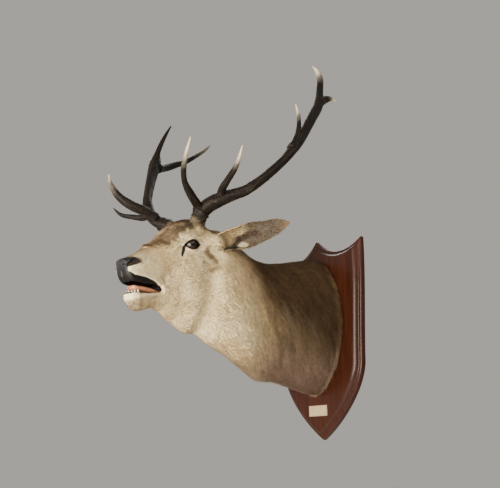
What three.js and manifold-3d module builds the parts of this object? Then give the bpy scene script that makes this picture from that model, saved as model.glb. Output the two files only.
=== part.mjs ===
// Red deer stag head mount: neck, raised head with an open mouth, ten-point antlers, ears and glass
// eyes on a shield-shaped wooden plaque. Millimetres, +Z up. The back of the plaque lies in the plane
// y = 0, the stag looks along -Y and its left side is +X.
//
// The head has a frame of its own, set between the eyes: its -Y runs from the eyes to the nose, its +X
// is the stag's left and its +Z the top of the head. Sizes named "forward" run along that -Y.

import * as THREE from 'three';
import { mergeVertices } from 'three/addons/utils/BufferGeometryUtils.js';
import Module from 'manifold-3d';

// ---------- driving dimensions ----------

const GAP = 0.3; // clearance between pieces that touch

const PLAQUE = {
  halfHeight: 326, // from the middle to the top peak and to the bottom point
  cornerX: 221, // the two pointed upper corners
  cornerZ: 293,
  hipX: 201, // where the sides start to curve in to the point
  hipZ: -98,
  thickness: 32,
  edgeStep: 11, // width of the cove between the outer edge and the raised field
};

const LABEL = { width: 92, height: 34, thickness: 1.2, z: -236 };

const HEAD = {
  x: 35, // point between the eyes, in the plaque's frame
  y: -561,
  z: 214,
  turnDegrees: 20, // to the stag's left
  nodDegrees: 19.5, // from the eyes down to the nose
};

const EYE = { radius: 22, x: 53, forward: 8, z: 6 };
const EYE_OPENING = { halfLength: 30, halfHeight: 18, depth: 14, outside: 4, tiltDegrees: 14 };
const NOSTRIL = { x: 25, forward: 222, z: -8, halfLength: 12, halfHeight: 8 };
const MOUTH = { cornerForward: 143, cornerZ: -95 };
const TEETH = { count: 8, height: 11, topRadius: 2.6, rootRadius: 1.9, arcRadius: 13, forward: 217, z: -83 };
const BROW = { x: 52, forward: 4, z: 20, halfWidth: 16.5, halfLength: 37, halfHeight: 24 };
const PEDICLE = { x: 51, forward: -43, z: 62, topRadius: 23, rootRadius: 31, height: 44, splay: 0.5 };
const BURR_THICKNESS = 5.5;

// The neck in upright sections, from the plaque to the throat: y, top and bottom height, half width
// and how far the section's middle is from the middle plane.
const NECK_STATIONS = [
  { y: -32, top: 250, bottom: -190, half: 147, x: 0 },
  { y: -75, top: 251, bottom: -182, half: 141, x: 0 },
  { y: -140, top: 238, bottom: -165, half: 128, x: 0 },
  { y: -210, top: 225, bottom: -150, half: 119, x: 0 },
  { y: -260, top: 223, bottom: -144, half: 115, x: 0 },
  { y: -310, top: 235, bottom: -120, half: 112, x: 0 },
  { y: -370, top: 268, bottom: -88, half: 108, x: 0 },
  { y: -430, top: 296, bottom: -58, half: 101, x: 0 },
  { y: -485, top: 282, bottom: -27, half: 83, x: 4 },
  { y: -530, top: 250, bottom: -28, half: 74, x: 18 },
  { y: -575, top: 215, bottom: -8, half: 56, x: 34 },
  { y: -610, top: 140, bottom: 16, half: 38, x: 46 },
  { y: -628, top: 96, bottom: 46, half: 20, x: 53 },
];
// Towards the plaque the lower half of a section narrows to this squareness, where 2 is round.
const NECK_FOOT = { squareness: 1.7, from: -140 };

// The skull, cheeks and upper muzzle in sections across the head: distance forward of the eyes, top
// line, height of the widest level, under line, half width, and how square the top is (2 is round).
const HEAD_STATIONS = [
  { forward: -150, top: 26, level: -10, bottom: -130, half: 66, square: 2 },
  { forward: -110, top: 48, level: -5, bottom: -165, half: 74, square: 2.1 },
  { forward: -60, top: 80, level: 0, bottom: -178, half: 77, square: 2.1 },
  { forward: -20, top: 84, level: 5, bottom: -172, half: 74, square: 2.6 },
  { forward: 20, top: 69, level: 8, bottom: -158, half: 69, square: 2.9 },
  { forward: 60, top: 53, level: -5, bottom: -138, half: 60, square: 2.6 },
  { forward: 100, top: 39, level: -22, bottom: -118, half: 51, square: 2.3 },
  { forward: 140, top: 26, level: -32, bottom: -97, half: 44, square: 2.2 },
  { forward: 175, top: 17, level: -28, bottom: -80, half: 40, square: 2.3 },
  { forward: 205, top: 11, level: -23, bottom: -69, half: 38, square: 2.4 },
  { forward: 225, top: 9, level: -20, bottom: -61, half: 32, square: 2.5 },
  { forward: 235, top: 8, level: -14, bottom: -46, half: 25, square: 2.5 },
  { forward: 241, top: 4, level: -9, bottom: -28, half: 16, square: 2.3 },
];

// The lower jaw, hanging open, in the same kind of sections.
const JAW_STATIONS = [
  { forward: -10, top: -60, level: -110, bottom: -168, half: 58, square: 2 },
  { forward: 40, top: -70, level: -115, bottom: -166, half: 54, square: 2 },
  { forward: 90, top: -84, level: -118, bottom: -162, half: 49, square: 2.2 },
  { forward: 130, top: -94, level: -117, bottom: -155, half: 42, square: 2.4 },
  { forward: 150, top: -98, level: -115, bottom: -146, half: 38, square: 2.6 },
  { forward: 180, top: -96, level: -112, bottom: -141, half: 33, square: 2.8 },
  { forward: 210, top: -88, level: -110, bottom: -142, half: 30, square: 2.8 },
  { forward: 230, top: -81, level: -105, bottom: -133, half: 26, square: 2.6 },
  { forward: 240, top: -83, level: -101, bottom: -118, half: 17, square: 2.3 },
];

// The lips that hang below the muzzle, square in section, and the hollow between them. "under" is the
// squareness below the widest level, where a section without one is rounder than an ellipse.
const LIP_STATIONS = [
  { forward: 132, top: -55, level: -78, bottom: -98, half: 38, square: 3.2, under: 3.2 },
  { forward: 150, top: -48, level: -70, bottom: -91, half: 37, square: 3.2, under: 3.2 },
  { forward: 175, top: -38, level: -58, bottom: -85, half: 35, square: 3.2, under: 3.2 },
  { forward: 205, top: -28, level: -46, bottom: -77, half: 33, square: 3.2, under: 3.2 },
  { forward: 225, top: -18, level: -36, bottom: -67, half: 30, square: 3.2, under: 3.2 },
  { forward: 236, top: -12, level: -28, bottom: -56, half: 25, square: 3, under: 3 },
  { forward: 243, top: -8, level: -22, bottom: -42, half: 17, square: 2.6, under: 2.6 },
];

const PALATE_STATIONS = [
  { forward: 129, top: -90, level: -102, bottom: -118, half: 22, square: 2.2, under: 2.2 },
  { forward: 145, top: -74, level: -97, bottom: -120, half: 28, square: 2.2, under: 2.2 },
  { forward: 175, top: -62, level: -90, bottom: -116, half: 28, square: 2.2, under: 2.2 },
  { forward: 205, top: -55, level: -84, bottom: -110, half: 26, square: 2.2, under: 2.2 },
  { forward: 225, top: -53, level: -78, bottom: -104, half: 23, square: 2.2, under: 2.2 },
  { forward: 233, top: -54, level: -74, bottom: -98, half: 18, square: 2.2, under: 2.2 },
];

const TONGUE_STATIONS = [
  { forward: 132, top: -100, level: -108, bottom: -114, half: 13, square: 2.2 },
  { forward: 165, top: -84, level: -93, bottom: -103, half: 18, square: 2.2 },
  { forward: 200, top: -73, level: -82, bottom: -90, half: 18, square: 2.2 },
  { forward: 222, top: -68, level: -75, bottom: -83, half: 15, square: 2.2 },
  { forward: 232, top: -70, level: -74, bottom: -79, half: 8, square: 2 },
];

// The left ear along its middle line: half width of the leaf, how deeply it is cupped and its wall.
const EAR_STATIONS = [
  { x: 52, forward: -60, z: -2, half: 20, cup: 24, wall: 16 },
  { x: 84, forward: -91, z: -5, half: 28, cup: 27, wall: 14 },
  { x: 116, forward: -120, z: -3, half: 34, cup: 25, wall: 9 },
  { x: 152, forward: -155, z: -1.5, half: 39, cup: 19, wall: 8 },
  { x: 186, forward: -194, z: 3.5, half: 31.5, cup: 12, wall: 7 },
  { x: 214, forward: -226, z: 8, half: 23, cup: 7, wall: 6 },
  { x: 236, forward: -252, z: 11, half: 7, cup: 2, wall: 4 },
];

// Antler centre lines in the head's frame: [sideways, forward, up, radius]. Sideways is away from the
// middle of the head on both sides. The left antler is the fuller one.
const LEFT_ANTLER = {
  beam: [
    [62, -46, 78, 22],
    [70, -53, 92, 21.5],
    [88, -69, 108, 22],
    [118, -90, 119, 21],
    [152, -113, 125, 17.5],
    [182, -135, 129, 15.5],
    [216, -165, 146, 14],
    [244, -206, 171, 13.5],
    [264, -263, 203, 13.5],
    [271, -306, 229, 17],
  ],
  brow: [
    [78, -45, 108, 14],
    [84, -5, 148, 12],
    [108, 39, 184, 8],
    [132, 58, 220, 7.5],
    [153, 59, 255, 5.5],
    [170, 49, 294, 1.5],
  ],
  bez: [
    [122, -92, 122, 13],
    [141, -82, 145, 11.5],
    [177, -68, 165, 9.5],
    [222, -50, 188, 8],
    [256, -35, 213, 5],
    [275, -35, 243, 1.5],
  ],
  trey: [
    [270, -302, 232, 12],
    [274, -343, 267, 10],
    [269, -380, 309, 7],
    [261, -404, 347, 5.5],
    [253, -415, 381, 1.5],
  ],
  top: [
    [271, -307, 230, 16.5],
    [272, -388, 277, 16],
    [270, -465, 328, 16.5],
    [264, -545, 380, 17],
    [251, -601, 432, 12.5],
    [242, -641, 483, 11],
    [237, -644, 511, 7.5],
    [225, -638, 535, 1.5],
  ],
  point: [
    [263, -560, 388, 13.5],
    [266, -599, 400, 13],
    [273, -630, 402, 7.5],
    [281, -652, 393, 2],
  ],
};

const RIGHT_ANTLER = {
  beam: [
    [62, -42, 78, 20.5],
    [74, -36, 87, 18],
    [101, -35, 110, 18.5],
    [125, -48, 138, 16.5],
    [150, -76, 168, 14.5],
    [174, -113, 194, 14.5],
    [211, -177, 238, 16],
    [239, -231, 277, 18.5],
    [261, -275, 306, 20.5],
  ],
  brow: [
    [86, -29, 109, 13],
    [97, -2, 133, 15],
    [112, 33, 156, 14.5],
    [132, 58, 190, 12],
    [150, 62, 227, 8],
    [169, 45, 268, 1.5],
  ],
  bez: [
    [112, -44, 124, 12],
    [150, -42, 121, 10],
    [190, -37, 132, 8],
    [241, -43, 149, 6],
    [276, -49, 178, 1.5],
  ],
  trey: [
    [264, -282, 314, 15],
    [270, -312, 352, 10],
    [266, -336, 383, 8],
    [260, -368, 418, 5.5],
    [255, -399, 448, 2],
  ],
  top: [
    [257, -276, 300, 18],
    [269, -339, 299, 13.5],
    [270, -401, 308, 11],
    [269, -450, 316, 9],
    [260, -511, 335, 7],
    [245, -553, 353, 5],
    [230, -579, 372, 1.5],
  ],
  point: [
    [258, -274, 302, 14],
    [274, -277, 323, 8],
    [282, -281, 337, 3],
  ],
};

// ---------- materials ----------

const paint = (color, roughness) => new THREE.MeshStandardMaterial({ color, roughness, metalness: 0 });
const WOOD = paint(0x7a3518, 0.3);
const IVORINE = paint(0xe6dcc0, 0.5);
const NECK_COAT = paint(0x9d8a70, 0.9);
const FACE_COAT = paint(0xbcaa8a, 0.9);
const EAR_COAT = paint(0xb3a488, 0.9);
const NOSE_SKIN = paint(0x1c1a1b, 0.45);
const TONGUE_SKIN = paint(0xb4654a, 0.4);
const EYE_GLASS = paint(0x2a1508, 0.05);
const ANTLER_BONE = paint(0x2a1f1a, 0.5);

// ---------- geometry helpers ----------

// A closed solid through rings of equal length, each end closed by a fan to its middle.
function loft(rings) {
  const count = rings[0].length;
  const positions = rings.flat().flatMap((p) => [p.x, p.y, p.z]);
  const index = [];
  for (let r = 0; r + 1 < rings.length; r += 1) {
    for (let i = 0; i < count; i += 1) {
      const a = r * count + i;
      const b = r * count + ((i + 1) % count);
      index.push(a, b, b + count, a, b + count, a + count);
    }
  }
  const closeEnd = (ring, start, flip) => {
    const middle = ring.reduce((sum, p) => sum.add(p), new THREE.Vector3()).divideScalar(count);
    const hub = positions.length / 3;
    positions.push(middle.x, middle.y, middle.z);
    for (let i = 0; i < count; i += 1) {
      const a = start + i;
      const b = start + ((i + 1) % count);
      if (flip) index.push(hub, b, a);
      else index.push(hub, a, b);
    }
  };
  closeEnd(rings[0], 0, true);
  closeEnd(rings.at(-1), (rings.length - 1) * count, false);
  const geometry = new THREE.BufferGeometry();
  geometry.setAttribute('position', new THREE.Float32BufferAttribute(positions, 3));
  geometry.setIndex(signedVolume(positions, index) < 0 ? index.reverse() : index);
  return geometry;
}

function signedVolume(positions, index) {
  const at = (i) => new THREE.Vector3(...positions.slice(3 * i, 3 * i + 3));
  let volume = 0;
  for (let t = 0; t < index.length; t += 3) {
    volume += at(index[t]).dot(at(index[t + 1]).cross(at(index[t + 2])));
  }
  return volume / 6;
}

// Values between the given stations, as a smooth curve through each of their named sizes.
function blendStations(stations, steps) {
  const names = Object.keys(stations[0]);
  const curves = names.map((name) => {
    const points = stations.map((station, i) => new THREE.Vector3(i, station[name], 0));
    return new THREE.CatmullRomCurve3(points, false, 'centripetal');
  });
  return Array.from({ length: steps }, (_, i) => {
    const t = i / (steps - 1);
    return Object.fromEntries(names.map((name, n) => [name, curves[n].getPoint(t).y]));
  });
}

// A superellipse across the head, rounder below than above unless the station says otherwise.
function headRing({ forward, top, level, bottom, half, square, under }, sides) {
  return Array.from({ length: sides }, (_, i) => {
    const angle = (2 * Math.PI * i) / sides;
    const across = Math.cos(angle);
    const rise = Math.sin(angle);
    const power = rise > 0 ? 2 / square : 2 / (under ?? 1.905);
    const x = half * Math.sign(across) * Math.abs(across) ** power;
    const z = level + (rise > 0 ? top - level : level - bottom) * Math.sign(rise) * Math.abs(rise) ** power;
    return new THREE.Vector3(x, -forward, z);
  });
}

// An upright ellipse across the neck.
function neckRing({ y, top, bottom, half, x }, sides) {
  const nearPlaque = Math.max(0, (y - NECK_FOOT.from) / (-PLAQUE.thickness - NECK_FOOT.from));
  const under = 2 + (NECK_FOOT.squareness - 2) * nearPlaque;
  return Array.from({ length: sides }, (_, i) => {
    const angle = (2 * Math.PI * i) / sides;
    const power = 2 / (Math.sin(angle) < 0 ? under : 2);
    const across = Math.sign(Math.cos(angle)) * Math.abs(Math.cos(angle)) ** power;
    const rise = Math.sign(Math.sin(angle)) * Math.abs(Math.sin(angle)) ** power;
    return new THREE.Vector3(x + half * across, y, (top + bottom) / 2 + ((top - bottom) / 2) * rise);
  });
}

// A round bar of changing thickness along a smooth path of [x, y, z, radius].
function taperedBar(path, steps, sides) {
  const curve = new THREE.CatmullRomCurve3(path.map(([x, y, z]) => new THREE.Vector3(x, y, z)));
  const thickness = new THREE.CatmullRomCurve3(path.map(([, , , r], i) => new THREE.Vector3(i, r, 0)));
  const frames = curve.computeFrenetFrames(steps, false);
  const rings = Array.from({ length: steps + 1 }, (_, i) => {
    const centre = curve.getPointAt(i / steps);
    const radius = thickness.getPoint(curve.getUtoTmapping(i / steps)).y;
    return Array.from({ length: sides }, (_unused, k) => {
      const angle = (2 * Math.PI * k) / sides;
      return centre
        .clone()
        .addScaledVector(frames.normals[i], radius * Math.cos(angle))
        .addScaledVector(frames.binormals[i], radius * Math.sin(angle));
    });
  });
  return loft(rings);
}

// ---------- joining and cutting ----------

const wasm = await Module();
wasm.setup();

function solid(geometry) {
  const bare = geometry.clone();
  bare.deleteAttribute('normal');
  bare.deleteAttribute('uv');
  const merged = mergeVertices(bare, 1e-4);
  const vertProperties = new Float32Array(merged.attributes.position.array);
  const triVerts = new Uint32Array(merged.index.array);
  return new wasm.Manifold(new wasm.Mesh({ numProp: 3, vertProperties, triVerts }));
}

function shape(manifold) {
  const { vertProperties, triVerts } = manifold.getMesh();
  const geometry = new THREE.BufferGeometry();
  geometry.setAttribute('position', new THREE.BufferAttribute(vertProperties, 3));
  geometry.setIndex(new THREE.BufferAttribute(triVerts, 1));
  return geometry;
}

// A wide slab whose side outline is a list of [forward, up], for parting the head with thin cuts.
function sideSlab(outline, shiftForward = 0, shiftUp = 0) {
  const halfWidth = 300;
  const points = outline.map(([forward, up]) => new THREE.Vector2(forward + shiftForward, up + shiftUp));
  const across = { depth: 2 * halfWidth, bevelEnabled: false };
  const slab = new THREE.ExtrudeGeometry(new THREE.Shape(points), across);
  // the outline's forward axis becomes -Y and its up axis Z
  const turn = new THREE.Matrix4().set(0, 0, -1, halfWidth, -1, 0, 0, 0, 0, 1, 0, 0, 0, 0, 0, 1);
  return solid(slab.applyMatrix4(turn));
}

// ---------- the scene graph ----------

const stag = new THREE.Group();
const headTurn = new THREE.Group();
headTurn.position.set(HEAD.x, HEAD.y, HEAD.z);
headTurn.rotation.z = THREE.MathUtils.degToRad(HEAD.turnDegrees);
const head = new THREE.Group();
head.rotation.x = THREE.MathUtils.degToRad(HEAD.nodDegrees);
headTurn.add(head);
stag.add(headTurn);
stag.updateMatrixWorld(true);
const toHead = head.matrixWorld.clone().invert();

function addPiece(group, name, geometry, material) {
  const mesh = new THREE.Mesh(geometry, material);
  mesh.name = name;
  group.add(mesh);
}

// ---------- plaque and label ----------

// Half the shield's outline, from the top peak to the bottom point: a scooped top, a nearly straight
// side and a full curve to the point.
function shieldHalf() {
  const { halfHeight, cornerX, cornerZ, hipX, hipZ } = PLAQUE;
  const curve = (...corners) => {
    return new THREE.CubicBezierCurve(...corners.map(([x, z]) => new THREE.Vector2(x, z)));
  };
  const peak = [0, halfHeight];
  const corner = [cornerX, cornerZ];
  const hip = [hipX, hipZ];
  const point = [0, -halfHeight];
  return [
    curve(peak, [0.25 * cornerX, 0.84 * halfHeight], [0.6 * cornerX, 0.76 * halfHeight], corner),
    curve(corner, [1.01 * cornerX, 0.58 * cornerZ], [0.93 * cornerX, 0.1 * cornerZ], hip),
    curve(hip, [0.96 * hipX, 1.8 * hipZ], [0.47 * hipX, -0.84 * halfHeight], point),
  ];
}

// The outline moved inwards by a distance: each curve is offset on its own and cut where it meets the
// next one, so the corners stay sharp.
function shieldOutline(inset, perCurve) {
  const dense = 160;
  const runs = shieldHalf().map((curve) => {
    return Array.from({ length: dense + 1 }, (_, i) => {
      const t = i / dense;
      const along = curve.getTangent(t);
      return curve.getPoint(t).add(new THREE.Vector2(along.y, -along.x).multiplyScalar(inset));
    });
  });
  const mirror = (run) => run.map((p) => new THREE.Vector2(-p.x, p.y)).reverse();
  const loop = [...runs, ...[...runs].reverse().map(mirror)];
  const crossing = (a, b) => {
    for (let i = a.length - 2; i >= 0; i -= 1) {
      for (let j = 0; j + 1 < b.length; j += 1) {
        const r = a[i + 1].clone().sub(a[i]);
        const s = b[j + 1].clone().sub(b[j]);
        const cross = r.cross(s);
        const apart = b[j].clone().sub(a[i]);
        const t = apart.cross(s) / cross;
        const u = apart.cross(r) / cross;
        if (t >= 0 && t <= 1 && u >= 0 && u <= 1) return { i, j, point: a[i].clone().addScaledVector(r, t) };
      }
    }
    return { i: a.length - 1, j: 0, point: a.at(-1).clone() };
  };
  const joints = loop.map((run, k) => crossing(run, loop[(k + 1) % loop.length]));
  return loop.flatMap((run, k) => {
    const start = joints[(k + loop.length - 1) % loop.length];
    const end = joints[k];
    const kept = [start.point, ...run.slice(start.j + 1, end.i + 1), end.point];
    const curve = new THREE.CatmullRomCurve3(kept.map((p) => new THREE.Vector3(p.x, p.y, 0)));
    return curve.getSpacedPoints(perCurve).slice(0, perCurve);
  });
}

function plaqueGeometry() {
  const { thickness, edgeStep } = PLAQUE;
  // depth and inset of each line of the moulding, from the back edge to the raised field
  const profile = [
    [0, 2],
    [4, 0],
    [13, 0],
    [18, 4],
    [19, edgeStep],
    [25, edgeStep + 4],
    [thickness - 1, edgeStep + 11],
    [thickness, edgeStep + 17],
  ];
  const rings = profile.map(([depth, inset]) => {
    return shieldOutline(inset, 8).map((p) => new THREE.Vector3(p.x, -depth, p.y));
  });
  return loft(rings);
}

addPiece(stag, 'plaque', plaqueGeometry(), WOOD);

const labelPlate = new THREE.BoxGeometry(LABEL.width, LABEL.thickness, LABEL.height);
labelPlate.translate(0, -PLAQUE.thickness - GAP - LABEL.thickness / 2, LABEL.z);
addPiece(stag, 'label_plate', labelPlate, IVORINE);

// ---------- neck, head, jaw and nose, modelled whole and parted by thin cuts ----------

function neckSolid() {
  const stations = blendStations(NECK_STATIONS, 15);
  stations[0].y = -PLAQUE.thickness - GAP;
  return solid(loft(stations.map((station) => neckRing(station, 24))).applyMatrix4(toHead));
}

function headSolid() {
  let body = solid(loft(blendStations(HEAD_STATIONS, 18).map((station) => headRing(station, 24))));
  body = body.add(solid(loft(blendStations(JAW_STATIONS, 11).map((station) => headRing(station, 16)))));
  body = body.add(solid(loft(blendStations(LIP_STATIONS, 9).map((station) => headRing(station, 16)))));
  for (const side of [-1, 1]) {
    const brow = new THREE.SphereGeometry(1, 12, 8);
    brow.scale(BROW.halfWidth, BROW.halfLength, BROW.halfHeight);
    body = body.add(solid(brow.translate(side * BROW.x, -BROW.forward, BROW.z)));
    const { x, forward, z, topRadius, rootRadius, height, splay } = PEDICLE;
    const pedicle = new THREE.CylinderGeometry(topRadius, rootRadius, height, 12);
    pedicle.rotateX(Math.PI / 2).rotateY(side * splay);
    body = body.add(solid(pedicle.translate(side * x, -forward, z)));
  }
  return body;
}

function eyeBall(grow) {
  return new THREE.SphereGeometry(EYE.radius + grow, 14, 8);
}

// The almond between the lids, sunk into the cheek in front of the ball.
function eyeOpening(side) {
  const { halfLength, halfHeight, depth, outside, tiltDegrees } = EYE_OPENING;
  const almond = new THREE.SphereGeometry(1, 14, 8).scale(depth, halfLength, halfHeight);
  almond.rotateX(THREE.MathUtils.degToRad(tiltDegrees)).rotateZ(-side * 0.25);
  return solid(almond.translate(side * (EYE.x + EYE.radius + outside), -EYE.forward, EYE.z));
}

function nostril(side) {
  const { x, forward, z, halfLength, halfHeight } = NOSTRIL;
  const hollow = new THREE.SphereGeometry(1, 10, 6).scale(9, halfLength, halfHeight);
  return solid(hollow.rotateX(-0.3).rotateZ(side * 0.35).translate(side * (x + 6), -forward, z));
}

// Eight small front teeth stand in an arc on the lower jaw.
function teethSolid() {
  let teeth = null;
  const { count, height, topRadius, rootRadius, arcRadius, forward, z } = TEETH;
  for (let i = 0; i < count; i += 1) {
    const swing = (i - (count - 1) / 2) * 0.3;
    const tooth = new THREE.CylinderGeometry(topRadius, rootRadius, height, 5);
    tooth.rotateX(Math.PI / 2 - 0.35).translate(0, -arcRadius, 0).rotateZ(swing);
    tooth.translate(0, -forward, z);
    teeth = teeth ? teeth.add(solid(tooth)) : solid(tooth);
  }
  return teeth;
}

function antlerSolids(antler, side, cut) {
  const bar = (path, steps, sides, grow = 0) => {
    const points = path.map(([across, forward, up, radius]) => [side * across, -forward, up, radius + grow]);
    return solid(taperedBar(points, steps, sides));
  };
  const [, root, next] = antler.beam;
  const axis = new THREE.Vector3(side * (next[0] - root[0]), root[1] - next[1], next[2] - root[2]);
  const lean = new THREE.Quaternion().setFromUnitVectors(new THREE.Vector3(0, 0, 1), axis.normalize());
  const burr = (grow) => {
    const ring = new THREE.TorusGeometry(root[3], BURR_THICKNESS + grow, 6, 12);
    return solid(ring.applyQuaternion(lean).translate(side * root[0], -root[1], root[2]));
  };
  const stem = bar(antler.beam, 15, 9).add(burr(0));
  const stemGrown = bar(antler.beam, 15, 9, GAP).add(burr(GAP));
  const crown = (grow) => {
    const upper = bar(antler.top, 12, 9, grow);
    return antler.point ? upper.add(bar(antler.point, 4, 6, grow)) : upper;
  };
  const pieces = {
    beam: stem.subtract(cut),
    brow: bar(antler.brow, 9, 7).subtract(stemGrown).subtract(cut),
    bez: bar(antler.bez, 8, 7).subtract(stemGrown),
    trey: bar(antler.trey, 8, 7).subtract(stemGrown).subtract(crown(GAP)),
    top: crown(0).subtract(stemGrown),
  };
  return pieces;
}

// The largest of the separate bodies that a cut leaves.
function mainBody(manifold) {
  const parts = manifold.decompose();
  return parts.reduce((best, part) => (part.volume() > best.volume() ? part : best));
}

const flesh = headSolid().add(neckSolid());
const bodySlab = [
  [-245, 400], [-135, 95], [-50, -172], [140, -158], [400, -160], [400, 400],
];
const jawSlab = [
  [-70, -400], [-70, -135], [MOUTH.cornerForward, MOUTH.cornerZ], [300, -66], [300, -400],
];
const noseSlab = [
  [214, 60], [222, 6], [228, -24], [234, -52], [300, -52], [300, 60],
];

const neck = mainBody(flesh.subtract(sideSlab(bodySlab)));
const front = flesh.intersect(sideSlab(bodySlab, GAP, GAP));
const jawBody = mainBody(front.intersect(sideSlab(jawSlab)).add(teethSolid()));
const noseBody = mainBody(
  front.subtract(sideSlab(jawSlab)).intersect(sideSlab(noseSlab)).subtract(nostril(-1)).subtract(nostril(1)),
);
let headBody = front.subtract(sideSlab(jawSlab, 0, GAP)).subtract(sideSlab(noseSlab, -GAP, 0));
for (const side of [-1, 1]) {
  const socket = solid(eyeBall(GAP).translate(side * EYE.x, -EYE.forward, EYE.z));
  headBody = headBody.subtract(socket).subtract(eyeOpening(side)).subtract(nostril(side));
}
const palate = solid(loft(blendStations(PALATE_STATIONS, 8).map((station) => headRing(station, 12))));
headBody = mainBody(headBody.subtract(palate));

const tongue = solid(loft(blendStations(TONGUE_STATIONS, 8).map((station) => headRing(station, 12))));
const mouthFloor = solid(
  loft(blendStations(TONGUE_STATIONS, 8).map((station) => {
    const grown = { ...station };
    grown.half += GAP;
    grown.bottom -= GAP;
    grown.top += 30;
    return headRing(grown, 12);
  })),
);

addPiece(stag, 'neck', shape(neck).applyMatrix4(head.matrixWorld), NECK_COAT);
addPiece(head, 'head', shape(headBody), FACE_COAT);
addPiece(head, 'lower_jaw', shape(mainBody(jawBody.subtract(mouthFloor))), FACE_COAT);
addPiece(head, 'nose', shape(noseBody), NOSE_SKIN);
addPiece(head, 'tongue', shape(tongue), TONGUE_SKIN);

// ---------- eyes, ears and antlers ----------

// A cupped leaf: the outer wall runs one way across the section and the inner wall back.
function earGeometry(side) {
  const stations = blendStations(EAR_STATIONS, 12);
  const across = new THREE.Vector3(0, 0, 1);
  const opening = new THREE.Vector3(0.73, -0.68, 0.02).normalize();
  const perWall = 7;
  const rings = stations.map(({ x, forward, z, half, cup, wall }) => {
    const walls = [0, wall].map((depth, w) => {
      return Array.from({ length: perWall + 1 }, (_, i) => {
        const s = (w === 0 ? 1 : -1) * ((2 * i) / perWall - 1);
        const bow = Math.cos((s * Math.PI) / 2) ** 0.8;
        const reach = half * Math.sin((s * Math.PI) / 2);
        return new THREE.Vector3(x, -forward, z)
          .addScaledVector(across, reach)
          .addScaledVector(opening, -cup * bow + depth * (0.35 + 0.65 * bow) - 0.17 * wall);
      });
    });
    return walls.flat();
  });
  const geometry = loft(rings);
  if (side < 0) {
    geometry.scale(-1, 1, 1);
    geometry.setIndex(Array.from(geometry.index.array).reverse());
  }
  return geometry;
}

for (const [name, side, antler] of [['left', 1, LEFT_ANTLER], ['right', -1, RIGHT_ANTLER]]) {
  const eye = new THREE.Mesh(eyeBall(0), EYE_GLASS);
  eye.name = `eye_${name}`;
  eye.position.set(side * EYE.x, -EYE.forward, EYE.z);
  head.add(eye);

  const skinGrown = flesh.translate([side * GAP, 0, 0]);
  const ear = mainBody(solid(earGeometry(side)).subtract(skinGrown).subtract(flesh));
  addPiece(head, `ear_${name}`, shape(ear), EAR_COAT);

  const cut = flesh.translate([side * 0.12, 0, GAP]).add(flesh);
  for (const [part, body] of Object.entries(antlerSolids(antler, side, cut))) {
    addPiece(head, `antler_${name}_${part}`, shape(mainBody(body)), ANTLER_BONE);
  }
}

export default stag;
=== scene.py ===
"""Red deer stag head mount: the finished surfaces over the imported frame.

The frame's axes are +Z up, -Y out from the wall and +X the stag's left. The animal is shaped in
millimetres in its head's own axes, forward to the nose, left and up from the point between the eyes,
and head_to_frame() turns them into metres of the frame.
"""

import math

import bpy
import numpy as np
from mathutils import Matrix, Vector


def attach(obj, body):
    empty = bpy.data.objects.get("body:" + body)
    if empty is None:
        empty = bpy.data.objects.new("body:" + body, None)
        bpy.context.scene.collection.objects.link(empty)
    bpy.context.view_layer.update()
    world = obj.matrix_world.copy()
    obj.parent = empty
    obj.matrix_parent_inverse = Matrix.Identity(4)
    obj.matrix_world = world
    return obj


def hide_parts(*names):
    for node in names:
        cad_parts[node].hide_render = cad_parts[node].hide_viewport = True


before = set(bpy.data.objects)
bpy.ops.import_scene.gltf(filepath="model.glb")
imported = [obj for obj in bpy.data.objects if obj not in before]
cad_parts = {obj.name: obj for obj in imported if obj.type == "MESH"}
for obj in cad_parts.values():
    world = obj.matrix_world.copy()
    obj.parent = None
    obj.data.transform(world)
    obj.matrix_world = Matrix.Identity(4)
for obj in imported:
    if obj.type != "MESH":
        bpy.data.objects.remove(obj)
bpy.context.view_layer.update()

bl_info = {
    "name": "Stag Head Mount",
    "version": (1, 0, 0),
    "blender": (4, 5, 0),
    "location": "View3D > Sidebar > Stag",
    "description": "Builds a red deer stag head mount with its coat, antlers and shield",
    "category": "Object",
}

MM = 0.001

# ---------- the stag's sizes, in millimetres of its head's axes ----------

HEAD_PLACE = (35.0, -561.0, 214.0)
HEAD_TURN = math.radians(20.0)
HEAD_NOD = math.radians(19.5)

EYE_RADIUS = 22.0
EYE_PLACE = (8.0, 53.0, 6.0)
LID_THICKNESS = 2.8

# y of the frame, top, bottom, half width, sideways shift
NECK = np.array([
    (-32, 250, -190, 147, 0), (-75, 251, -182, 141, 0), (-140, 238, -165, 128, 0),
    (-210, 225, -150, 119, 0), (-260, 223, -144, 115, 0), (-310, 235, -120, 112, 0),
    (-370, 268, -88, 108, 0), (-430, 296, -58, 101, 0), (-485, 282, -27, 83, 4),
    (-530, 250, -28, 74, 18), (-575, 215, -8, 56, 34), (-610, 140, 16, 38, 46),
    (-628, 96, 46, 20, 53),
], float)

# forward, top, level of the widest part, bottom, half width, squareness of the top
SKULL = np.array([
    (-150, 26, -10, -130, 66, 2.0), (-110, 48, -5, -165, 74, 2.1), (-60, 80, 0, -178, 77, 2.1),
    (-20, 84, 5, -172, 74, 2.6), (20, 69, 8, -158, 69, 2.9), (60, 53, -5, -138, 60, 2.6),
    (100, 39, -22, -118, 51, 2.3), (140, 26, -32, -97, 44, 2.2), (175, 17, -28, -80, 40, 2.3),
    (205, 11, -23, -69, 38, 2.4), (225, 9, -20, -61, 32, 2.5), (235, 8, -14, -46, 25, 2.5),
    (241, 4, -9, -28, 16, 2.3),
], float)

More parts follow.
